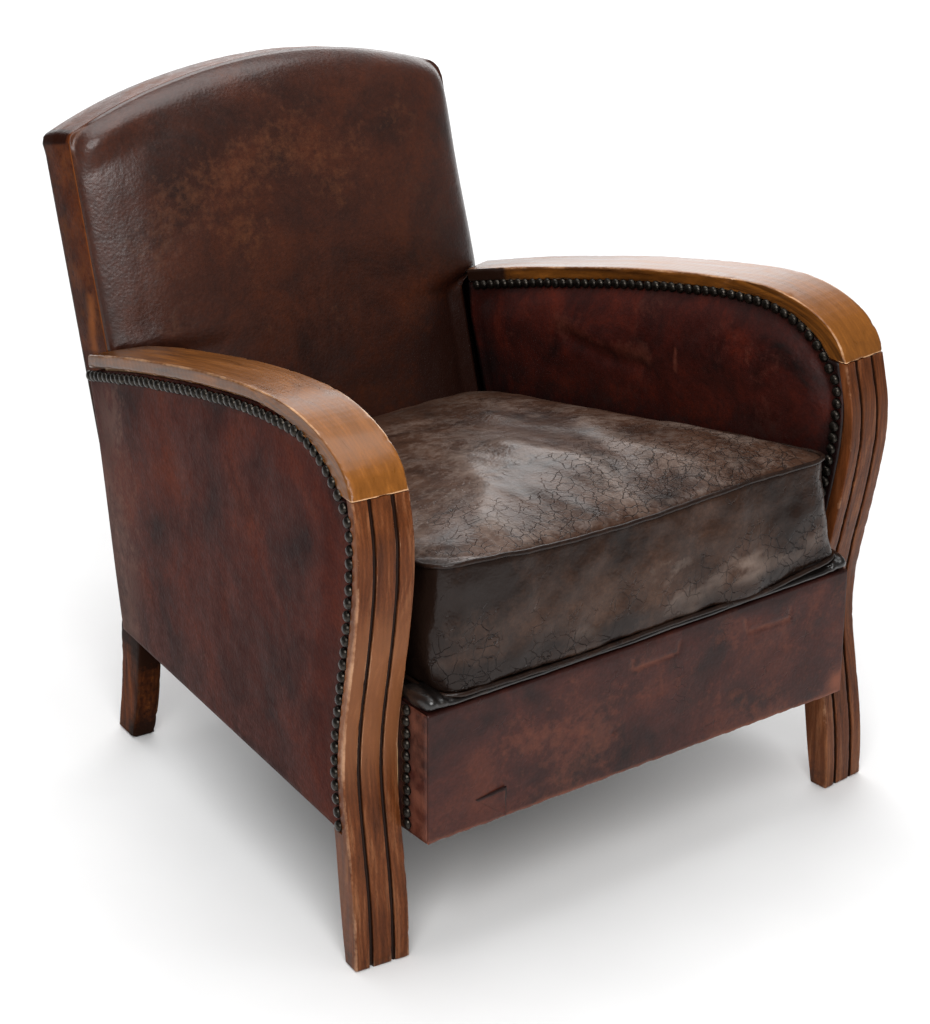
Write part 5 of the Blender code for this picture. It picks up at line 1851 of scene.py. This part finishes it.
@dataclass(frozen=True)
class Apron:
    """The leather over the front rail, with its raw lower edge, its scuffs and its end pieces."""

    half: float = 0.2678
    front: float = -0.030
    top: float = 0.2745
    bottom: float = 0.1365
    end_y: float = 0.018
    wall: float = 0.0017
    columns: int = 240
    mark: float = 0.0022
    scuffs: tuple = (((0.041, 0.262), (0.039, 0.250), (-0.019, 0.249), (-0.021, 0.258)),
                     ((0.189, 0.252), (0.189, 0.243), (0.132, 0.2445), (0.1275, 0.258)))
    hole: tuple = (-0.0428, 0.1868)
    tear: tuple = ((-0.2127, 0.1671), (-0.1767, 0.1715), (-0.1763, 0.1381))

    def profile(self) -> Array:
        """The cut from the rear of the underside, round the front, to the rear of the top.

        Returns:
            Rows of depth and height.
        """
        f, t, b = self.front, self.top, self.bottom
        lower = [(f + 0.0030 - 0.0030 * math.sin(a), b + 0.0030 - 0.0030 * math.cos(a))
                 for a in np.linspace(0, math.pi / 2, 5)]
        upper = [(f + 0.0022 - 0.0022 * math.cos(a), t - 0.0022 + 0.0022 * math.sin(a))
                 for a in np.linspace(0, math.pi / 2, 5)]
        under = [(y, b) for y in np.linspace(self.end_y, f + 0.006, 6)]
        rise = [(f, z) for z in np.linspace(b + 0.0045, t - 0.0035, 56)]
        return np.array([*under, *lower, *rise, *upper,
                         *[(y, t) for y in np.linspace(f + 0.005, self.end_y, 6)]])

    def build(self, finish: Material) -> list[Piece]:
        """Make the cover and the flap that its leather is torn into.

        Args:
            finish: the material of the piece.

        Returns:
            The finished pieces.
        """
        cut = self.profile()
        x = self.half * np.sin(np.linspace(-math.pi / 2, math.pi / 2, self.columns))
        x = 0.35 * x + 0.65 * np.linspace(-self.half, self.half, self.columns)
        y = np.repeat(cut[:, :1], len(x), 1)
        z = np.repeat(cut[:, 1:], len(x), 1)
        xx = np.broadcast_to(x, y.shape)
        flat = join(xx, z)
        face = (cut[:, 0] < self.front + 0.0012)[:, None] * np.ones_like(xx)
        inner = face * (1 - (np.abs(xx) / self.half) ** 12)
        inner = inner * ease(0.0, 0.012, z - self.bottom) * ease(0.0, 0.010, self.top - z)
        waves = 0.0010 * rumple(flat[..., [0, 1, 1]], 0.10, 81) + 0.0003 * rumple(
            flat[..., [0, 1, 1]], 0.03, 82)
        scuff = sum(stroke(flat, line, self.mark) for line in self.scuffs)
        hole = spot(flat, self.hole, self.mark)
        y = y - inner * (0.0006 + waves) + face * (0.0010 * scuff + 0.0016 * hole)
        hem = ease(0.0, 1.0, 1 - (z - self.bottom) / 0.004) * face
        ragged = rumple(join(xx, 0.0, 0.0), 0.012, 83, 4)
        z = z - hem * (0.0009 + 0.0012 * ragged)
        z = z + tilt_up(xx) * ease(0.20, self.top, z)
        places = seat_point(xx, y, z)
        wear = 0.20 + 0.22 * rumple(places, 0.07, 84) + 0.26 * scuff * face
        wear += 0.5 * fade(0.0, 0.006, z - self.bottom) + 0.05 * ease(0.985, 1.0, np.abs(
            xx) / self.half)
        wear += 0.7 * spot(flat, (0.262, 0.150), 0.012)
        grime = 0.45 * fade(0.0, 0.018, self.top - z) + 0.9 * hole
        shell = Shell()
        shell.grid(places, wear=wear, grime=grime, crack=0.15)
        for side in Side:
            reach = np.linspace(self.front, self.end_y + 0.0065, 13)
            levels = np.linspace(self.bottom, self.top, 40)
            ye, ze = np.meshgrid(reach, levels)
            near = ye - self.front
            xe = -side.value * (self.half + 0.0004 - 0.0012 * np.exp(-(near / 0.002) ** 2))
            ze = ze + tilt_up(xe) * ease(0.20, self.top, ze)
            ends = seat_point(xe, ye, ze)
            dark = 0.75 * ease(0.020, 0.036, near) + 0.4 * fade(0.001, 0.003, near)
            dark += 0.15 * fade(0.0, 0.012, self.top - ze)
            shell.grid(ends, wear=0.40 + 0.35 * rumple(ends, 0.02, 85), grime=dark, crack=0.1)
        piece = shell.object("apron_leather", 0.00001)
        made = [dress(thicken(piece, self.wall), finish, "outer_leather", "apron_cover")]

        corners = np.array(self.tear)
        p, q = np.meshgrid(np.linspace(0, 1, 16), np.linspace(0, 1, 12))
        edge = corners[0] + (corners[2] - corners[0]) * p[..., None]
        tip = corners[1] + (corners[2] - corners[1]) * p[..., None]
        flap = edge + (tip - edge) * q[..., None]
        lift = 0.0008 + 0.0022 * q * (1 - 0.6 * p) * (0.7 + 0.3 * np.sin(p * 9))
        places = seat_point(flap[..., 0], self.front - lift, flap[..., 1])
        flap = hide("apron_torn_flap", places, (0, -9, 0), 0.0012, 0.1 + 0.2 * (q > 0.9),
                    0.25 + 0.6 * (q > 0.93) + 0.6 * (p < 0.08))
        made.append(dress(flap, finish, "outer_leather"))
        return made


@dataclass(frozen=True)
class Lip:
    """The black leather roll along the front of the deck, pleated at its two corners."""

    half: float = 0.2685
    middle_y: float = -0.0065
    reach: float = 0.0240
    low: float = 0.2748
    high: float = 0.2842
    columns: int = 260
    around: int = 28

    def build(self, finish: Material) -> Piece:
        """Make the roll as a closed loft from end to end.

        Args:
            finish: the material of the piece.

        Returns:
            The finished piece.
        """
        x = np.linspace(-self.half, self.half, self.columns)
        turn = np.linspace(0, 2 * math.pi, self.around, endpoint=False)
        side = np.abs(x) / self.half
        swollen = 0.0075 * ease(0.86, 0.985, side) + 0.0012 * np.sin(x * 60) * (1 - side)
        ends = np.sqrt(np.clip(1 - np.clip((side - 0.985) / 0.015, 0, 1) ** 2, 0.02, 1))
        rings = []
        c, s = np.cos(turn), np.sin(turn)
        for xi, grow, end in zip(x, swollen, ends):
            y = self.middle_y + self.reach * end * np.sign(c) * np.abs(c) ** 0.75
            high = self.high - self.low + grow
            z = self.low + high / 2 + high / 2 * end * np.sign(s) * np.abs(s) ** 0.85
            rings.append(join(xi, y, z))
        x, y, z = np.moveaxis(np.array(rings), -1, 0)
        pleat = ease(0.84, 0.95, side)[:, None] * np.sin(np.abs(x) * 520 + 60 * y)
        z += 0.0009 * pleat * ease(self.low + 0.002, self.low + 0.006, z)
        y -= 0.0008 * pleat * (y < self.middle_y)
        z += tilt_up(x) * (y < 0.012)
        places = seat_point(x, y, z)
        wear = 0.15 + 0.2 * rumple(places, 0.03, 91) + 0.35 * (z < self.low + 0.0015)
        shell = Shell()
        loft(shell, places, wear=wear, grime=0.1, crack=0.15)
        piece = shell.object("seat_lip_roll")
        swell(piece, 0.0004 * rumple(coordinates(piece), 0.02, 92))
        return dress(piece, finish, "black_leather", "seat_lip", fill=0.9)


@dataclass(frozen=True)
class Seat:
    """The deck under the cushion and the cotton nailed under the rails."""

    cloth: float = 0.1396
    cloth_wall: float = 0.0008
    front_y: float = 0.053
    rear_half: float = 0.229
    rear_y: float = 0.568

    @staticmethod
    def half(y: Array, off: Array) -> Array:
        """Half the distance between the sides at a depth, this far in from the caps."""
        return WIDTH / 2 - np.asarray(y) * math.tan(SPLAY) - np.asarray(off) / math.cos(SPLAY)

    def build(self, black: Material, cotton: Material, steel: Material) -> list[Piece]:
        """Make the deck, the dust cover and its tacks.

        Args:
            black: the material of the deck.
            cotton: the material of the dust cover.
            steel: the material of its tacks.

        Returns:
            The finished pieces.
        """
        made = []
        y = np.concatenate([np.linspace(0.0183, 0.0497, 4), np.linspace(0.0512, 0.4998, 50)])
        off = np.where(y < 0.05, 0.0640, 0.0402)
        share = np.linspace(-1, 1, 60)
        x = self.half(y, off)[:, None] * share[None]
        sag = 0.0020 * (1 - share ** 2)[None] * np.sin(np.linspace(0, math.pi, len(y)))[:, None]
        z = deck_z(y)[:, None] - sag
        places = seat_point(x, y[:, None] + 0 * x, z)
        deck = hide("seat_deck_leather", places, (0, 0, 9), 0.0014,
                    0.1 + 0.1 * rumple(places, 0.08, 95), 0.3, 0.1)
        made.append(dress(deck, black, "black_leather", "seat_deck", "seat_stuffing"))

        y = np.linspace(self.front_y, self.rear_y, 70)
        wide = np.where(y > 0.509, self.rear_half, self.half(y, 0.0110))
        share = np.linspace(-1, 1, 70)
        x = wide[:, None] * share[None]
        yy = y[:, None] + 0 * x
        inside = (1 - share ** 2) * np.sin(np.linspace(0, math.pi, len(y)))[:, None]
        places = seat_point(x, yy, self.cloth - 0 * x)
        z = self.cloth + 0.0002 - 0.0009 * inside * (1 + 0.3 * rumple(places, 0.06, 96))
        shell = Shell()
        shell.grid(seat_point(x, yy, z), wear=0.0)
        sheet = face_towards(shell.object("dust_cover_cotton"), (0, 0, -9))
        thicken(sheet, self.cloth_wall)
        made.append(dress(sheet, cotton, "black_cotton", "dust_cover"))

        shape = stud("tack_head", 0.0042, 0.0012, 10)
        shape.data.materials.append(steel)
        spots = [(s * (w - 0.008), d) for s in (-1, 1) for d, w in zip(y[2::5], wide[2::5])]
        spots += [(d, e) for e in (0.0585, 0.5625) for d in np.linspace(-0.19, 0.19, 9)]
        spots = np.array(spots)
        heads = scatter(scatter_tree(), "dust_cover_tacks", seat_point(spots[:, 0], spots[:, 1],
                        self.cloth - 0.0012), np.tile([0.0, 0.0, -1.0], (len(spots), 1)), shape,
                        steel, 0.12, 0.06, 5)
        bpy.data.objects.remove(shape)
        made.append(dress(heads, steel, "spring_steel"))
        return made


# ---- back

@dataclass(frozen=True)
class Back:
    """The leaning back: a padded face that narrows between the arms, a border and a rear panel."""

    half: float = 0.244
    throat: float = 0.2088
    shoulder: float = 0.314
    corner: float = 0.548
    rise: float = 0.048
    depth: float = 0.060
    bottom: float = 0.062
    heel: float = 0.0165
    flap_low: float = 0.0345
    flap_high: float = 0.0150
    flap_step: float = 0.3035
    throat_lift: float = 0.024
    left_round: float = 0.006
    right_round: float = 0.015
    bulge: tuple = ((1.0, 0.0), (0.988, 0.0055), (0.97, 0.0115), (0.94, 0.0185), (0.90, 0.0240),
                    (0.83, 0.0295), (0.70, 0.0340), (0.40, 0.0375))
    left_bulge: tuple = ((1.0, 0.0), (0.99, 0.0032), (0.975, 0.0062), (0.94, 0.0105),
                         (0.90, 0.0145), (0.83, 0.0205), (0.70, 0.0285), (0.40, 0.0365))
    rear_bulge: tuple = ((1.0, 0.0), (0.97, 0.002), (0.85, 0.005), (0.5, 0.007))
    rubs: tuple = ((-0.08, 0.405, 0.035), (0.044, 0.427, 0.03), (-0.18, 0.327, 0.022),
                   (-0.12, 0.46, 0.05), (0.0, 0.50, 0.06))
    tuck: tuple = ((0.0030, 0.0200), (0.0048, 0.0140), (0.0058, 0.0060), (0.0066, -0.0040),
                   (0.0262, -0.0044))
    columns: int = 96
    rows: int = 104

    def crest(self, x: Array) -> Array:
        """The height of the arched top, its two corners rounded, the right one more.

        Args:
            x: across the back.

        Returns:
            Its length up along the back.
        """
        x = np.asarray(x, float)
        radius = (self.half ** 2 + self.rise ** 2) / (2 * self.rise)
        arch = self.corner + self.rise - radius + np.sqrt(radius ** 2 - x ** 2)
        r = np.where(x < 0, self.left_round, self.right_round)
        over = np.clip((np.abs(x) - (self.half - r)) / r, 0, 1)
        return arch - r * (1 - np.sqrt(1 - over ** 2)) + 0.0040 * ease(-0.12, 0.13, x)

    def width(self, s: Array) -> Array:
        """Half the width of the padded face at a height: narrow between the arms."""
        return self.throat + (self.half - self.throat) * ease(0.298, 0.316, s)

    def flank(self, s: Array) -> Array:
        """How much farther out the right side hangs just above the arm."""
        return 0.0045 * fade(0.31, 0.46, s) * (s > self.shoulder - 0.002)

    def face_grid(self) -> tuple[Array, Array, Array, Array]:
        """The face's x and s, with how far out each point lies across and up.

        Returns:
            Across, up, and the two shares.
        """
        a = np.linspace(-1, 1, self.columns)
        a = 0.45 * np.sin(a * math.pi / 2) + 0.55 * a
        b = np.linspace(-1, 1, self.rows)
        b = 0.45 * np.sin(b * math.pi / 2) + 0.55 * b
        aa, bb = np.meshgrid(a, b)
        top = self.crest(aa * self.half)
        s = self.bottom + (top - self.bottom) * (bb + 1) / 2
        return self.width(s) * aa + self.flank(s) * np.clip(aa, 0, 1) ** 4, s, aa, bb

    def face(self, finish: Material) -> Piece:
        """The padded face with its soft folds, rubbed places and the curl in its seam.

        Args:
            finish: the material of the piece.

        Returns:
            The finished piece.
        """
        x, s, a, b = self.face_grid()
        height = dome(self.bulge, a, b, 22.0)
        soft = dome(self.left_bulge, a, b, 14.0)
        height += (soft - height) * ease(0.35, 0.85, -a) * fade(0.80, 0.97, b)
        low = fade(0.296, 0.316, s)
        height = np.maximum(height, self.throat_lift * low)
        inside = ease(0.004, 0.02, height)
        flat = join(x, s, 0.0)
        height += inside * (0.0020 * rumple(flat, 0.16, 101)
                            + 0.0006 * rumple(flat, 0.05, 102))
        crease = stroke(flat[..., :2], ((-0.205, 0.34), (-0.16, 0.30)), 0.02)
        height -= 0.0012 * inside * crease
        places = back_point(x, s, -height)
        wraps = []
        for column, sense in ((0, -1), (-1, 1)):
            edge, part = low[:, column], []
            for out, level in self.tuck:
                part.append(back_point(x[:, column] + sense * out * edge, s[:, column],
                                       -level * edge - (1 - edge) * height[:, column]))
            wraps.append(np.stack(part if sense > 0 else part[::-1], axis=1))
        wear = 0.08 + 0.22 * rumple(places, 0.10, 103)
        wear += 0.16 * sum(spot(flat[..., :2], at, size) for *at, size in self.rubs)
        wear += 0.30 * fade(0.001, 0.004, height) * (s > self.shoulder) * (a < -0.9)
        grime = 0.25 * ease(0.2, 1.0, np.abs(a)) + 0.55 * fade(0.22, 0.33, s)
        grime += 0.35 * ease(0.45, 0.95, a) * fade(0.35, 0.50, s)
        places = np.concatenate([wraps[0], places, wraps[1]], axis=1)
        extra = ((0, 0), (len(self.tuck), len(self.tuck)))
        wear, grime = np.pad(wear, extra, "edge"), np.pad(grime, extra, "edge")
        piece = hide("back_face_leather", places, (0, -9, 2), 0.0014, wear, grime)
        return dress(piece, finish, "back_leather", "back_front_panel", "back_stuffing", fill=0.85)

    def rim(self) -> Array:
        """The outer edge of the back from its left heel, over the arch, to its right heel.

        Returns:
            The line around the face.
        """
        x, s, _, _ = self.face_grid()
        side = s[:, 0] > self.shoulder
        flank = join(-self.half, s[side, 0])
        low = join(-self.half, np.linspace(self.heel, self.shoulder - 0.001, 34))
        left = np.vstack([low, flank[:-1]])
        crest = join(x[-1], s[-1])
        right = join(self.half, s[s[:, -1] > self.shoulder, -1])[:-1][::-1]
        low_right = low[::-1] * (-1, 1)
        return np.vstack([left, crest, right, low_right])

    def border(self, finish: Material) -> Piece:
        """The band over the top and down both sides, with its flaps inside the arms.

        Args:
            finish: the material of the piece.

        Returns:
            The finished piece.
        """
        rim = self.rim()
        s = rim[:, 1]
        start = self.flap_low + (self.flap_high - self.flap_low) * (s - self.heel) / (
            self.flap_step - self.heel)
        start = np.where(s < self.flap_step, start, 0.0)
        count = 20
        t = start[None] + (self.depth - start)[None] * np.linspace(0, 1, count)[:, None]
        middle = np.array([0.0, 0.30])
        along = np.gradient(rim, axis=0)
        outward = join(-along[:, 1], along[:, 0])
        outward /= np.linalg.norm(outward, axis=1)[:, None]
        outward *= np.sign(((rim - middle) * outward).sum(1))[:, None]
        share = t / self.depth
        top = ease(self.corner - 0.02, self.corner + 0.004, s)[None]
        puff = top * 0.0030 * np.sin(np.clip(share, 0, 1) ** 1.4 * math.pi * 0.72)
        above = ease(self.shoulder - 0.01, self.shoulder + 0.03, s)
        puff = puff + (1 - top) * 0.0012 * np.sin(share * math.pi) * above
        base = back_point(rim[None, :, 0], s[None], t)
        puff = puff + 0.0006 * rumple(base, 0.03, 111) * np.sin(share * math.pi)
        x = rim[None, :, 0] + outward[None, :, 0] * puff
        x = x + ((rim[:, 0] > 0.235) * self.flank(s))[None] * (1 - share)
        ss = s[None] + outward[None, :, 1] * puff
        places = back_point(x, ss, t)
        near = np.exp(-(t / 0.0016) ** 2) * ((s > self.shoulder) & (rim[:, 0] < -0.235))[None]
        wear = 0.25 + 0.2 * rumple(base, 0.05, 112) + 0.45 * near
        flat = join(t, ss)
        left = (rim[:, 0] < -self.half + 0.001)[None]
        wear += 0.5 * left * stroke(flat, ((0.0156, 0.3715), (0.029, 0.317)), 0.008)
        grime = 0.2 + 0.35 * np.exp(-((t - self.depth) / 0.004) ** 2)
        grime += 0.25 * (s < self.shoulder)
        # Painted shade: a dark fold in the band near its top left corner.
        fold = (rim[:, 0] < -0.2335) * ease(self.corner - 0.010, self.corner - 0.004, s)
        grime += 1.0 * fold[None] * ease(0.10, 0.16, share)
        piece = hide("back_border_leather", places, (0, 0, 9), 0.0013, wear, grime, 0.1)
        return dress(piece, finish, "back_leather", "back_boxing", "back_flap_left",
                     "back_flap_right")

    def rear(self, finish: Material) -> Piece:
        """The plain leather across the rear.

        Args:
            finish: the material of the piece.

        Returns:
            The finished piece.
        """
        _, _, a, b = self.face_grid()
        top = self.crest(a * self.half)
        s = self.heel + (top - self.heel) * (b + 1) / 2
        x = self.half * a
        out = dome(self.rear_bulge, a, b, 8.0)
        flat = join(x, s, 0.0)
        out = out + ease(0.001, 0.004, out) * (0.0012 * rumple(flat, 0.14, 121)
                                               + 0.0004 * rumple(flat, 0.04, 122))
        places = back_point(x, s, self.depth + out)
        wear = 0.02 + 0.16 * rumple(places, 0.09, 123) + 0.1 * fade(0.0, 0.004, out)
        grime = 0.25 + 0.3 * fade(0.02, 0.12, s)
        piece = hide("back_rear_leather", places, (0, 9, 0), 0.0014, wear, grime)
        return dress(piece, finish, "outer_leather", "back_outer_panel", fill=0.9)

    def build(self, front: Material, band: Material, rear: Material) -> list[Piece]:
        """Make the three pieces."""
        return [self.face(front), self.border(band), self.rear(rear)]


# ---- frame, studio, camera

def dress_frame(nodes: dict[str, Piece], finishes: dict[str, Material]) -> None:
    """Give each node that is carried over from the part the material of its own slot.

    Args:
        nodes: the parts of the frame.
        finishes: the materials by name.
    """
    kinds = {"rail": "frame_wood", "stile": "frame_wood", "webbing": "jute", "hessian": "jute",
             "spring": "spring_steel", "stuffing": "stuffing"}
    for name, node in nodes.items():
        for word in ("webbing", "hessian", "stuffing", "rail", "stile", "spring"):
            if word in name:
                node.data.materials.clear()
                node.data.materials.append(finishes[kinds[word]])
                break


def studio() -> None:
    """A pale floor under a large soft light, a fill from the left and a white surround."""
    scene = bpy.context.scene
    mesh = bpy.data.meshes.new("studio_floor")
    mesh.from_pydata([(x * FLOOR_REACH, y * FLOOR_REACH, 0)
                      for x, y in ((-1, -1), (1, -1), (1, 1), (-1, 1))], [], [(0, 1, 2, 3)])
    floor = bpy.data.objects.new("studio_floor", mesh)
    scene.collection.objects.link(floor)
    floor.data.materials.append(Paper("seamless_paper").build())

    world = bpy.data.worlds.new("white_surround")
    world.use_nodes = True
    t = Tree(world.node_tree)
    glow = t.add("ShaderNodeBackground", {"Color": (1.0, 1.0, 1.0, 1.0), "Strength": 0.22})
    t.add("ShaderNodeOutputWorld", {"Surface": glow})
    scene.world = world

    for name, at, size, power in (("overhead_softbox", (0.1, 0.2, 3.0), (2.4, 2.4), 60.0),
                                  ("key_softbox", (-1.6, -2.2, 2.3), (1.8, 1.8), 80.0),
                                  ("rear_wall_light", (2.4, 3.3, 1.7), (5.0, 3.0), 120.0)):
        lamp = bpy.data.lights.new(name, "AREA")
        lamp.shape = "RECTANGLE"
        lamp.size, lamp.size_y = size
        lamp.energy = power
        light = bpy.data.objects.new(name, lamp)
        light.location = at
        aim = Vector((0.0, 0.0, 0.35)) - Vector(at)
        light.rotation_euler = aim.to_track_quat("-Z", "Y").to_euler()
        scene.collection.objects.link(light)


def camera() -> None:
    """The camera that looks at the chair from its left front, a little from above."""
    place = Vector((-1.6101, -2.2521, 1.5080))
    target = Vector((-0.01855, -0.0978, 0.32187))
    ahead = (target - place).normalized()
    right = ahead.cross(Vector((0, 0, 1))).normalized()
    up = right.cross(ahead)
    turned = math.cos(CAMERA_ROLL) * right + math.sin(CAMERA_ROLL) * up
    raised = -math.sin(CAMERA_ROLL) * right + math.cos(CAMERA_ROLL) * up
    frame = Matrix((turned, raised, -ahead)).transposed().to_4x4()
    frame.translation = place
    lens = bpy.data.cameras.new("portrait_lens")
    lens.sensor_fit = "AUTO"
    lens.sensor_width = 36.0
    lens.lens = 98.2
    lens.clip_start = 0.1
    holder = bpy.data.objects.new("camera", lens)
    bpy.context.scene.collection.objects.link(holder)
    holder.matrix_world = frame
    bpy.context.scene.camera = holder


def finishes() -> dict[str, Material]:
    """Every material of the chair, by its slot.

    Returns:
        The materials by name.
    """
    made = {
        "cap_wood": Beech("waxed_golden_beech", "#3f220b", "#6d3f14", "#93591f", "#d3a57c",
                          sheen=0.22, coat=0.20),
        # The gold and rubbed colours also paint the sheen on the left post.
        "post_wood": Beech("waxed_brown_beech", "#43200e", "#643418", "#8c5a3a", "#b88c6c",
                           sheen=0.10, coat=0.05),
        "leg_wood": Beech("dull_brown_beech", "#34170b", "#5e3016", "#7b431f", "#9c6c46",
                          sheen=0.01, coat=0.0),
        # The pale last colour also paints the sheen near the rear edge of the sides.
        "outer_leather": Leather("oxblood_side_leather", "#260d09", "#461b11", "#5a2512",
                                 "#8a7066", patch=0.10, warmth=0.45, sheen=0.03, coat=0.0),
        "apron_leather": Leather("oxblood_apron_leather", "#1d0c0a", "#3c1a14", "#4f2519",
                                 "#7c4a38", sheen=0.22, coat=0.04),
        "inner_leather": Leather("deep_oxblood_leather", "#150605", "#340e08", "#4b170b",
                                 "#5c2c1e", sheen=0.30, coat=0.08),
        "back_leather": Leather("glazed_back_leather", "#210e08", "#3c1a0c", "#4e230e", "#74401b",
                                patch=0.09, warmth=0.4, sheen=0.4, coat=0.27, rough=(0.30, 0.44)),
        "border_leather": Leather("rubbed_border_leather", "#260f07", "#48200e", "#632f11",
                                  "#8a4f28", sheen=0.02, coat=0.04, rough=(0.24, 0.36)),
        # The pale last colour also paints the highlights and the sheen of the cushion.
        "cushion_leather": Leather("cracked_cushion_leather", "#1e130e", "#3f2a1f", "#4d372b",
                                   "#87756a", patch=0.055, cell=0.013, sheen=0.08, coat=0.34,
                                   coat_rough=0.20, rough=(0.28, 0.46)),
        "black_leather": Leather("black_lip_leather", "#0a0807", "#15100e", "#241811", "#4e3d33",
                                 sheen=0.5, coat=0.3, rough=(0.26, 0.42)),
        "nail_bronze": Metal("antique_bronze", "#3f3a34", "#14110f"),
        "spring_steel": Metal("blued_steel", "#8a8c90", "#3c3a3a"),
        "jute": Cloth("plain_jute", "#a98a5c", "#4e3b22"),
        "stuffing": Cloth("curled_fibre", "#7a6040", "#2e2114", 0.006),
        "black_cotton": Cloth("black_cambric", "#1c1c1e", "#08080a", 0.0016),
        "frame_wood": RawWood("sawn_beech"),
    }
    return {slot: finish.build() for slot, finish in made.items()}


def main() -> None:
    """Load the part, build the chair's looks round it, then the studio and the camera."""
    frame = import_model()
    looks = finishes()
    for side in Side:
        ArmCap(side).build(looks["cap_wood"])
        FrontPost(side, inner=side.pick(0.0598, 0.0575)).build(looks["post_wood"])
        RearLeg(side).build(looks["leg_wood"])
        OuterSide(side).build(looks["outer_leather"])
        InnerSide(side).build(looks["inner_leather"])
    NailRows().build(looks["nail_bronze"])
    cushion = Cushion()
    cushion.build(looks["cushion_leather"])
    Welts(cushion).build(looks["cushion_leather"])
    Apron().build(looks["apron_leather"])
    Lip().build(looks["black_leather"])
    Seat().build(looks["black_leather"], looks["black_cotton"], looks["spring_steel"])
    Back().build(looks["back_leather"], looks["border_leather"], looks["outer_leather"])
    dress_frame(frame["nodes"], looks)
    studio()
    camera()
    bpy.context.scene.view_settings.view_transform = "Standard"


if __name__ == "__main__":
    logging.basicConfig(level=logging.INFO, format="%(message)s")
    main()
